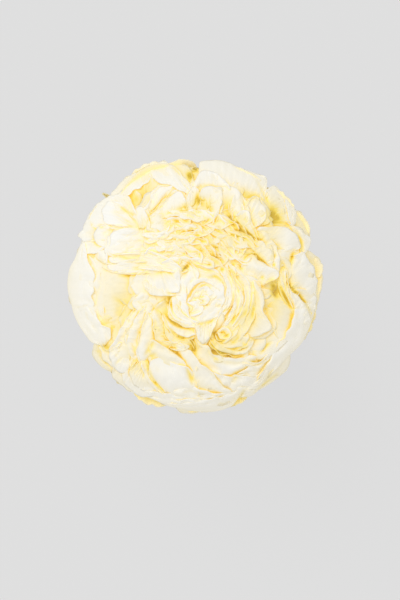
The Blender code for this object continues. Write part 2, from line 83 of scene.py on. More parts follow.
# Cells of the upper, heart and under petals in mm, and the fewest and most cells across and along.
CELL = 0.73
HEART_CELL = 0.66
UNDER_CELL = 1.9
FEWEST_CELLS = 12
MOST_CELLS = (110, 90)

# Shares of the drawn creases' depths and of the rims' heights that are kept; from which depth on a crease
# runs over a rim. Then, in mm: how far a petal's sides run on under its neighbours, how wide it is where its
# folds are full, how high a loose rim curls up, how far a petal tilts to one side and how far it drops at its
# hidden edge, if it hangs or not.
GROOVE = 0.5
STEP = 0.5
DEEP_CREASE = 4.7
SKIRT = 5.0
FULL_SPAN = 24
CURL = 0.6
SIDE_TILT = 0.9
DROPS = (1.2, 4.0)

# Styles of the upper petals, in mm: height of the belly; raggedness of the rim, how deep it is tucked in,
# over what length, and the least share of it that is pressed down; depth of the pleats and of the crinkles;
# length of a petal with the full drop, and height of the waves of a turned-in one. s is plain, p pleated,
# c crumpled, f flat, b has its rim pressed far down, h lies in the heart, g is smooth with a ragged rim.
Style = namedtuple("Style", "belly ragged tuck tuck_length pressed pleat crinkle full_length billow")
STYLES = {
    "s": Style(0.45, 1.6, 0.15, 1.5, 0.0, 0.55, 0.80, 20, 2.0),
    "p": Style(0.40, 2.0, 0.15, 1.5, 0.0, 1.00, 0.70, 20, 2.0),
    "c": Style(0.35, 2.4, 0.25, 1.5, 0.0, 0.50, 1.30, 20, 2.0),
    "f": Style(0.55, 1.2, 0.20, 1.5, 0.0, 0.25, 0.50, 20, 0.9),
    "b": Style(0.60, 1.2, 2.40, 5.0, 0.6, 0.25, 0.60, 20, 2.0),
    "h": Style(0.20, 2.2, -0.60, 1.5, 0.0, 0.30, 0.80, 8, 2.0),
    "g": Style(0.30, 2.4, 0.20, 1.5, 0.0, 0.15, 0.40, 20, 2.2),
}

# A turned-in petal whose hidden edge lies beyond this radius hangs down the side, from the receptacle, or if
# it is narrower than WIDE from between the side petals. All in mm.
HANGING_RADIUS = 52
WIDE = 30

# Guard petals on the sides: kind, rim seen from above as three points counterclockwise in mm, offset from
# the dome in mm, lean of the tip in degrees (90 outward along the dome, 0 straight up) and how far the blade
# follows its tip, in mm. Kinds: g bows out from the base, u is cupped.
GUARDS = (
    ("g", (66, -17), (70.3, 1), (70, 9), -6, 60, 25),
    ("g", (70, 5), (70, 13), (60, 19), -5, 70, 22),
    ("g", (64, 25), (62.5, 36), (53, 44), -9, 60, 22),
    ("g", (57, 39), (51, 50), (39, 56), -8, 60, 22),
    ("g", (40, 55), (26, 65), (1.5, 67), -6, 60, 22),
    ("g", (3, 62), (-4, 70), (-18, 67), -5, 60, 22),
    ("u", (-4, 57), (-22, 67.5), (-44, 50), -3, 66, 26),
    ("g", (-44, 49), (-55, 44), (-61, 33), -8, 60, 22),
    ("g", (-60, 27), (-65, 17), (-70, 3), -6, 60, 25),
    ("g", (-59.5, -21), (-55, -30), (-44.5, -42.5), -9, 50, 22),
    ("g", (-47, -42), (-44, -53), (-32, -58), -8, 60, 22),
    ("g", (-36, -57), (-27, -65.5), (-11, -67), -8, 50, 22),
    ("g", (-12, -67), (-2, -70.3), (14, -69), -9, 45, 22),
    ("g", (15, -67), (24, -66), (31, -60), -8, 40, 20),
    ("g", (26.5, -60.5), (37.4, -54), (46, -45.5), -8, 50, 22),
    ("g", (43, -49), (49.6, -40.5), (56, -33.5), -9, 45, 22),
    ("g", (60, -32), (66, -20), (68, -8), -7, 55, 22),
)

# Upper petals, seen from above in mm: height of the rim over the dome, warmth of the colour, which on the low
# petals is painted shade, kind, the hidden edge, the free rim. Kinds: o rises from a hidden foot to its rim, i
# comes over the bloom's edge with its rim turned in; the second letter is the style, s where there is none.
UPPER = (
    # north west, round the cup
    (-0.8, 0.35, "o", ((-37, 42), (-24, 43), (-10, 48)),
     ((-46.5, 50.5), (-42, 57), (-35, 63.5), (-28.5, 68), (-24, 69.4), (-16, 69.2), (-10, 64.5), (-5, 58.5),
      (-2.5, 55))),
    (0.5, 0.1, "o", ((-42, 55), (-36, 61.5), (-27, 67)),
     ((-36, 50.3), (-33.5, 52.6), (-30, 53.8), (-26.5, 56.6), (-23.6, 60.3))),
    (0.6, 0.0, "i", ((-21, 67.5), (-16, 68), (-10.5, 64.8), (-2.8, 56)),
     ((-24.5, 60.5), (-21, 57.3), (-16, 55.6), (-10, 53), (-5, 50.5))),
    (0.0, 0.15, "o", ((-26, 39), (-20, 43), (-14, 48.5)),
     ((-28.6, 42), (-25.5, 45.5), (-23.3, 50), (-19.5, 53.7), (-13, 55))),
    (0.5, 0.1, "o", ((-20, 36), (-12, 38), (-5, 41)),
     ((-24, 38.5), (-20, 42.6), (-15.5, 47.2), (-11.5, 50.4), (-7.5, 51), (-5.2, 48), (-5, 44.3))),
    (0.1, 0.2, "o", ((-47, 44), (-40, 41), (-33, 36)),
     ((-46.5, 50.2), (-40, 50.8), (-36.3, 48.8), (-33.8, 44), (-31.5, 40))),
    (-0.4, 0.1, "op", ((-29, 41), (-27, 35), (-30, 30)),
     ((-43, 50.5), (-49, 48.6), (-54.5, 45.6), (-59, 40.5), (-61.5, 34.5))),
    (0.5, 0.0, "op", ((-30, 39), (-28, 34), (-31, 31)),
     ((-42, 46.5), (-48, 46.2), (-51.3, 42), (-51, 37.5), (-49, 34.2), (-44, 33))),
    (0.9, 0.2, "oc", ((-30, 31), (-27, 31)), ((-32, 41.5), (-28.8, 42.7), (-26, 39.5), (-24.6, 34))),
    (0.0, 0.05, "oc", ((-55, 33), (-53, 27)),
     ((-60.5, 34.5), (-62.8, 31.5), (-64.5, 28.3), (-63, 25.2), (-60, 24.3), (-56, 24.5))),
    (0.4, 0.15, "o", ((-45, 31), (-44, 24)),
     ((-49, 33.5), (-53, 32.6), (-55.7, 29), (-55, 25.5), (-53, 22.3), (-49.5, 20.5))),
    (-0.5, 0.1, "o", ((-54, 27), (-49, 25)),
     ((-62.5, 25.5), (-62, 21), (-60.3, 17.8), (-56, 17.5), (-52.5, 18.4), (-49.5, 20.5))),
    (0.6, 0.0, "oc", ((-53, 14), (-50, 12)), ((-52, 19.5), (-50, 20.4), (-48, 17.8), (-47.6, 14.5))),
    (0.5, 0.0, "os", ((-24, 29), (-22, 22), (-25, 17)),
     ((-42, 30.5), (-46, 27.7), (-46, 24), (-47.8, 20.5), (-46.8, 18), (-43, 16.8), (-36, 17.2))),
    (0.2, 0.15, "os", ((-22, 20), (-20, 13)),
     ((-37, 18.5), (-42, 16.6), (-47.2, 15), (-46, 12.6), (-40, 12), (-33, 12.6))),
    (0.0, 0.1, "os", ((-22, 15), (-12, 8.5)),
     ((-45, 13.2), (-48.2, 11), (-45.5, 8.4), (-40, 7), (-33, 6.2), (-26, 6.8))),
    (0.6, 0.05, "os", ((-36, 22), (-37, 11)),
     ((-17, 16.5), (-11.5, 13.4), (-7.5, 9.8), (-6.6, 8.2), (-10, 6.9), (-16, 7.7), (-23, 8.2))),
    (0.7, 0.25, "oc", ((-24, 31), (-8, 31)), ((-23, 25.6), (-15, 25.2), (-8, 24.7), (-3.5, 26))),
    (-0.2, 0.25, "oc", ((-22, 16), (-8, 16)), ((-24, 26), (-14, 25), (-5, 24.6))),
    (0.8, 0.3, "oc", ((-15, 39), (-11, 34)), ((-23.8, 38), (-24.4, 33), (-22, 30.6), (-17, 29), (-11.5, 31))),
    (0.4, 0.4, "oc", ((-12, 41), (-2, 41)), ((-14.5, 37), (-9, 37.6), (-4, 35.3), (1, 34.2))),
    # north
    (0.0, 0.1, "o", ((6, 51), (20, 46), (36, 44)),
     ((2.2, 64.5), (3, 69), (10, 69.7), (18, 69.4), (25, 65.4), (33, 63.5), (38.8, 61.3), (40, 58.5),
      (39.6, 53))),
    (1.1, 0.0, "o", ((3, 52), (14, 52)),
     ((-0.2, 57.5), (2.5, 62), (6.5, 63.7), (11, 62.6), (15, 59.3), (18.8, 54.5))),
    (0.1, 0.25, "of", ((6, 45), (8, 37)),
     ((2.5, 49.5), (3.4, 52.5), (6, 54.2), (10, 54.5), (14, 54), (15.2, 51), (15, 47.5), (14, 43), (12, 38),
      (10, 34))),
    (0.5, 0.1, "oc", ((8, 47), (9, 38)),
     ((9, 52.2), (12, 52.4), (14.4, 50.3), (14.9, 47), (14, 43), (12, 38), (10.4, 34.8))),
    (0.3, 0.15, "o", ((-4.5, 41), (-0.5, 44)), ((-5, 45.5), (-3.6, 50.5), (-1, 54.4), (1.2, 53.5))),
    (-0.1, 0.15, "of", ((15.5, 36), (20, 33)), ((12.5, 53.7), (17, 54.6), (21.5, 54.2), (24.5, 51))),
    (-0.3, 0.25, "oc", ((22, 34), (29, 32)), ((19.2, 41), (20, 46), (22, 50.2), (25, 50.6), (28, 46.5))),
    (0.4, 0.2, "oc", ((23, 33), (27, 33)), ((20.2, 36.5), (20.8, 41.5), (23, 46), (25.3, 46.2), (26.6, 43))),
    (1.0, 0.15, "o", ((22.5, 36), (26, 31.5), (31, 26)),
     ((24, 40), (26, 41.7), (28.7, 41.6), (29.6, 38.5), (30, 34), (31.8, 30), (34, 25.3))),
    (0.7, 0.1, "o", ((28, 39), (31, 32)),
     ((27.5, 44.5), (29.8, 47.9), (33, 48.2), (36.5, 45.5), (39, 41), (39.2, 38), (37, 34.2), (34, 32.4))),
    (0.2, 0.25, "oc", ((33, 36), (34, 32)), ((38.3, 40), (40.2, 37), (41.3, 35.4), (39.5, 33.7), (36, 32.8))),
    # north east
    (-1.0, 0.2, "o", ((38, 47), (40, 34)),
     ((40, 53.6), (44, 56), (47.5, 53.6), (50.5, 50.2), (53, 48.4), (55.2, 44), (56.3, 41.3), (54.8, 36),
      (53, 33))),
    (0.3, 0.0, "i", ((51.5, 47.8), (54.4, 44.8), (56, 41)),
     ((49.6, 50), (50.2, 44), (51.4, 38), (52.8, 33.8))),
    (-4.0, 0.7, "o", ((50, 34), (56, 28)), ((55, 41.8), (58.5, 41.3), (61.6, 37), (62.9, 32.5), (63.6, 28))),
    (1.2, 0.1, "of", ((35, 25), (44, 17)),
     ((36.3, 32), (43, 32.4), (50, 32), (54.7, 29.2), (57.5, 24.5), (58, 21), (55.5, 19.6), (51, 19.3))),
    (0.5, 0.05, "o", ((53, 31), (57, 25), (58, 18)),
     ((52, 34.2), (58, 30.9), (62, 28), (64.7, 26.1), (63.5, 23), (62.4, 19.8), (60, 17.2))),
    (-4.2, 0.75, "o", ((58, 15), (58, 0), (58, -16)),
     ((62, 20), (64.7, 18.4), (68.5, 15.7), (70.9, 12.5), (69.9, 9.8), (71.2, 5), (71, 0), (69.3, -5),
      (67.8, -12))),
    (0.9, 0.0, "oc", ((52.5, 15), (51.5, 3), (58, -8), (63.5, -17)),
     ((55, 17), (59.7, 18.4), (62.2, 14.7), (64.8, 11.6), (66.5, 7), (68.2, 3), (67, 0.5), (67.2, -5),
      (66.4, -12))),
    (-0.9, 0.35, "o", ((45, 4), (51, 4)), ((45.5, 19.5), (50, 20.2), (54.8, 19.6))),
    (0.3, 0.2, "op", ((30, 29), (36, 18), (40, 9)),
     ((36, 31.8), (41.5, 26.5), (45, 20), (46.3, 14), (46, 8.5))),
    (0.8, 0.2, "op", ((32, 20), (35.5, 14), (38, 9)),
     ((33.7, 25.5), (38.3, 22.5), (41.8, 18), (43.3, 12.5), (43, 8.5))),
    (1.0, 0.35, "o", ((33, 16), (37, 11.5)),
     ((33.2, 20.7), (37, 21.4), (40.2, 20.4), (42, 17), (41.5, 12.5))),
    (1.1, 0.15, "of", ((27, 4), (36, 0)),
     ((25.6, 11.5), (28.3, 15.5), (31.8, 16.7), (35, 14), (38.5, 11.4), (43, 9.3), (46.2, 6.8), (44.8, 4),
      (40, 1.8))),
    (1.0, 0.3, "oc", ((19, 29.5), (30, 26)), ((16, 25), (18, 22.3), (23, 20.5), (28, 20.3), (32.8, 20.6))),
    (1.4, 0.1, "o", ((20, 27.6), (26, 25.3), (31.3, 19.5)),
     ((19.5, 29.8), (25, 28.4), (29.3, 26.2), (31.8, 23.2), (33.2, 20.4))),
    # west
    (1.3, 0.0, "ig", ((-62.8, 24), (-66.5, 15.2), (-69.7, 9.5), (-71, 2), (-70.5, -4), (-68.7, -10)),
     ((-59.5, 19), (-58.5, 13.5), (-55.9, 8.5), (-55, 3), (-55.2, -3), (-56.5, -6.3), (-55.5, -10.5))),
    (0.9, 0.0, "ig", ((-68.5, -8.5), (-67.6, -14), (-65, -20.3), (-61, -26.3), (-57.3, -30.8), (-52, -32.6)),
     ((-56.5, -8.5), (-55.2, -13), (-53.3, -18), (-50.5, -21), (-46.6, -23.7), (-46, -28), (-48.5, -31.5))),
    (-3.4, 0.25, "of", ((-40, 12), (-38, 0), (-38, -20)), ((-57, 14), (-57.5, 0), (-56, -14), (-50, -24))),
    (-0.5, 0.2, "ib", ((-63, 20), (-65, 8), (-65, -4), (-62, -16), (-56, -24)),
     ((-59.5, 17.8), (-55.5, 14.8), (-52.3, 10.5), (-51, 4), (-50.2, -3), (-50, -10), (-49, -16),
      (-45.8, -20))),
    (-1.9, 0.35, "ob", ((-24, 9), (-24, -4), (-30, -16)),
     ((-47, 12), (-51.5, 4), (-52, -6), (-50.5, -15), (-46, -24), (-39, -27))),
    (-0.2, 0.2, "oc", ((-20, 6), (-21, -4)), ((-31, 7), (-34.3, 2), (-33, -4), (-29, -7.5))),
    (0.3, 0.1, "oc", ((-21, -4), (-22, -12)), ((-31, -5), (-34.3, -9.3), (-32, -13), (-27, -14.5))),
    (1.1, 0.05, "os", ((-25, 8), (-12, 10)),
     ((-26.5, -1), (-23.5, -3.6), (-17, -4), (-11, -4), (-8.4, -3.4), (-8, 1), (-7.4, 7))),
    # south west
    (0.2, 0.4, "os", ((-14, -18), (-11, -23), (-6, -27)),
     ((-17.5, -18.5), (-16.6, -23.4), (-15.9, -28), (-12.5, -30.8), (-9, -31.5))),
    (0.4, 0.35, "os", ((-18, -16), (-15.5, -23), (-11, -29)),
     ((-23.3, -16), (-22.5, -21.9), (-22.2, -27.3), (-19.7, -31.1), (-15.5, -33.3))),
    (0.6, 0.0, "os", ((-21.5, -15), (-20.5, -24), (-19.5, -32), (-23, -38)),
     ((-26, -14.5), (-27.3, -18.9), (-29.2, -24.2), (-30.4, -29.5), (-31.1, -34.9), (-30.4, -39.5))),
    (0.5, 0.15, "os", ((-26, -14), (-26.5, -24), (-28, -32), (-28.5, -38)),
     ((-29, -13), (-31.5, -16.6), (-35, -21.9), (-36.5, -28.8), (-36.5, -33.4), (-35, -38))),
    (0.5, 0.05, "os", ((-30, -14), (-33, -24), (-34, -34), (-36, -42)),
     ((-32, -12.5), (-35, -14.7), (-39.5, -21.9), (-43.7, -28.8), (-46.4, -34.1), (-46.8, -39.5),
      (-44.5, -43.3))),
    (0.6, 0.1, "oc", ((-38, -31), (-34, -36)),
     ((-44.5, -33), (-47, -37.5), (-46, -42.6), (-42, -46.8), (-37, -48.8), (-34.5, -45))),
    (-2.0, 0.45, "o", ((-38, -42), (-34, -48)),
     ((-44.8, -44.5), (-46.2, -48.5), (-44.2, -52.2), (-40.2, -54.8), (-37.7, -57.8), (-33.5, -59))),
    (0.1, 0.1, "oc", ((-34, -43), (-24, -47)),
     ((-40, -49.5), (-39, -54.5), (-35.3, -58), (-31, -60.7), (-24, -61))),
    (0.5, 0.35, "o", ((-30, -41), (-24.5, -44)),
     ((-32.8, -42.3), (-36, -47), (-34.3, -53), (-29.3, -57.3), (-23, -58))),
    (0.9, 0.3, "o", ((-25, -43), (-22.8, -50), (-17.5, -57)),
     ((-29.3, -43.5), (-27.2, -50), (-23.7, -55), (-18.7, -59))),
    (-1.0, 0.3, "oc", ((-45, -35), (-43, -40)), ((-52.5, -35), (-50.6, -40.3), (-47.2, -43.6), (-44, -44.5))),
    # south
    (0.3, 0.0, "if", ((-20.5, -59), (-10, -60), (-1, -57)),
     ((-25.3, -46), (-24, -41), (-19, -39.3), (-12, -42), (-4.5, -44))),
    (0.8, 0.2, "of", ((-26, -38), (-20, -43), (-11, -46)),
     ((-22, -29.5), (-15.5, -33.8), (-9.5, -37.8), (-6, -41), (-4.3, -45))),
    (0.6, 0.15, "of", ((-6, -46), (-1, -55), (8, -60)),
     ((-7, -34), (-1.5, -36), (3.5, -42.3), (8.2, -46.2), (12.3, -51), (15.8, -55), (19.5, -57.3))),
    (1.3, 0.1, "oc", ((-15, -31), (-11, -34)),
     ((-17.5, -30.2), (-12, -30), (-8, -30.6), (-5.6, -33.3), (-8.5, -35.8), (-12.5, -34.5))),
    (-0.9, 0.65, "o", ((-13, -32), (-4, -35)), ((-14, -25.5), (-8, -28.5), (-3, -29.5), (-0.8, -33))),
    (0.2, 0.0, "ic", ((-33, -59.5), (-23, -62.7), (-14.5, -66.5), (-4, -68.8)),
     ((-27.5, -57), (-20, -58.3), (-10, -60), (-1, -62))),
    (0.6, 0.0, "i", ((-13, -66.8), (0, -69.5), (10, -69.9), (19.5, -67), (24, -62)),
     ((-9, -62.7), (0, -62.2), (8, -62), (15, -60.6), (22.5, -57.3))),
    (0.0, 0.05, "ic", ((-10, -61.5), (0, -64), (10, -64), (20, -62)),
     ((-3, -53.5), (5, -57.3), (13, -59), (20.5, -56.8))),
    # south east
    (0.7, 0.3, "o", ((12, -28.5), (20, -29), (28, -27)),
     ((9, -31), (12.5, -35), (19, -36.9), (25.5, -37.6), (30, -34.5))),
    (1.2, 0.3, "o", ((14, -28), (22, -26)),
     ((11.5, -30.5), (15.5, -33.2), (21, -33.8), (26.3, -32.8), (29.3, -29))),
    (0.5, 0.1, "if", ((1, -40.5), (9, -47), (20, -49), (32, -44)),
     ((7.6, -33), (9.8, -37), (17, -38.8), (24, -39.6), (29.5, -38))),
    (-0.5, 0.2, "i", ((12, -57), (22, -58)), ((8.5, -46), (14, -48.8), (20.5, -49.5), (23.5, -48))),
    (0.4, 0.05, "i", ((20.5, -58), (30, -57.5), (38, -52.5)),
     ((22.5, -48.5), (28, -49.7), (34, -48.7), (39, -44))),
    (0.6, 0.15, "i", ((25, -49), (35, -49.5), (41, -43)),
     ((24.5, -47.2), (30, -44.2), (35, -43.4), (39, -40))),
    (0.5, 0.15, "i", ((28, -44), (37, -45), (43, -38)), ((26, -41.5), (31, -41.8), (36.5, -41), (40, -36.5))),
    (1.1, 0.0, "ig", ((66.4, -14), (62.8, -24), (58.6, -32), (51.3, -39), (45.3, -45.4), (37, -53)),
     ((55.3, -12.5), (53.4, -18), (51.5, -24), (46, -31.5), (42, -37), (40.2, -42), (35.5, -49))),
    (-0.9, 0.35, "of", ((39, 0), (38, -14), (36, -24), (28, -35)),
     ((48.5, 1), (52.5, -7), (56.5, -13), (56.5, -19), (54, -26), (48, -33), (40.5, -39.5))),
    (0.2, 0.25, "o", ((45.5, 8), (45, 0), (46.5, -6)), ((49.6, 7), (50, 1), (50.8, -4.5), (53.5, -11))),
    (0.8, 0.05, "op", ((49.5, -3), (53, -11), (57, -22)),
     ((50.2, 3.5), (52.6, -2.3), (57.6, -6.9), (61.6, -11.4), (63.6, -17.5))),
    (-1.6, 0.5, "i", ((47, -50), (41, -54.5), (33, -59)), ((43, -46), (38.5, -52), (32.5, -57))),
    (0.2, 0.05, "i", ((27, -61.5), (31.5, -60.8), (36, -57)),
     ((21.5, -58.5), (24.3, -55.3), (30, -55.6), (36, -53))),
    # round the rosette, right of it
    (0.6, 0.3, "of", ((31, -2), (29.5, -12), (25, -22)),
     ((33.5, 1.5), (37, -4), (37.7, -9), (37.2, -13.5), (39.7, -18), (41.5, -21.5), (40.7, -24.3),
      (37, -26.3), (32, -28))),
    (0.3, 0.5, "of", ((25, -4), (21, -14), (15, -23)),
     ((29.8, -6), (29.3, -14), (26, -20.5), (22, -27), (17, -31))),
    (0.1, 0.5, "of", ((29, -4), (26, -14), (19, -26)),
     ((32.5, -7), (32.8, -15), (31, -20.5), (27, -27), (21, -32), (15, -34))),
    (1.0, 0.1, "i", ((17, 10), (21.3, 3), (22, -4), (20.3, -10.5), (16.5, -16)),
     ((14, 7), (16.4, 1.5), (16.6, -5), (15.6, -10.5), (13.3, -14.3))),
    (0.6, 0.2, "i", ((22, 5), (26, -2), (26.3, -9), (23.5, -15), (18.5, -21)),
     ((20, 4), (21.4, -4), (20.7, -11), (17.7, -17), (15.5, -20.3))),
    (0.3, 0.3, "i", ((25, 10), (31.5, 3), (32, -6), (29.5, -14), (23.5, -22)),
     ((21.5, 8.5), (26, 2), (27, -5), (25.5, -12.5), (20.5, -20.5))),
    (1.6, 0.15, "oc", ((15, -25), (17, -26)),
     ((13.2, -24.5), (15, -22.3), (18, -22.8), (19.8, -26), (18, -28.8), (14.3, -29), (12.5, -27))),
    (1.8, 0.0, "o", ((2, -18.5), (10.5, -16.5)),
     ((0.2, -22), (1.3, -28), (4, -31.8), (7, -29.8), (9.7, -24), (11.8, -19.3))),
    # rosette
    (0.9, 0.15, "oc", ((-15, 12), (-18, -4), (-13, -22)), ((14, 4), (16.5, -5), (13, -16))),
    (1.1, 0.1, "ic", ((-8, 7), (-1.5, 10), (5, 8.6), (10, 5.4), (14.5, 1)),
     ((-3.8, -5), (-0.6, -0.3), (4, 1.7), (9, 0.6), (13.2, -4))),
    (1.3, 0.0, "ic", ((-9.5, 4.5), (-10.6, -7), (-9.8, -13.2), (-3.5, -17.7)),
     ((-4.6, -1.5), (-4.3, -9), (-3.5, -14))),
    (1.9, 0.1, "oc", ((0.5, -8), (3.5, -6.5), (5, -7.5)),
     ((-3.2, -6.7), (0, -2.8), (5, -0.4), (9.6, -2.3), (11.3, -6), (8.3, -9.3))),
    (1.5, 0.0, "oc", ((-3, -15), (-1, -12)), ((-4, -8.6), (0.3, -8.2), (4.3, -10.8), (4.8, -14), (0, -16.5))),
    (2.1, 0.1, "oc", ((4, -9), (2, -7)), ((2.3, -10.4), (6, -10.3), (8, -7.8), (6, -5.2), (1.5, -5))),
    (0.7, 0.4, "if", ((15, -11), (12.5, -17.8), (5, -20)), ((6.7, -10.8), (4.6, -14), (2.3, -18.7))),
    (1.3, 0.1, "oc", ((9, -9), (10, -11)), ((10, -7), (14, -7.6), (15.2, -9.3), (12.5, -10.6))),
    (1.0, 0.0, "o", ((-9, -11), (-6, -15), (1, -18)),
     ((-14.2, -12), (-12.7, -16), (-9, -19.4), (-4, -21.9), (1.5, -22.2))),
    (0.9, 0.05, "o", ((-8, -8), (-7, -14), (-2, -17)),
     ((-12.6, -8), (-11.8, -13.5), (-9, -17), (-4, -19.6), (1, -20.3))),
    (0.3, 0.1, "o", ((-12, -16), (-8, -21), (-2, -23.5)),
     ((-16.3, -17.3), (-13.7, -22.5), (-9.5, -26.1), (-4.5, -28.2), (-0.5, -27))),
)

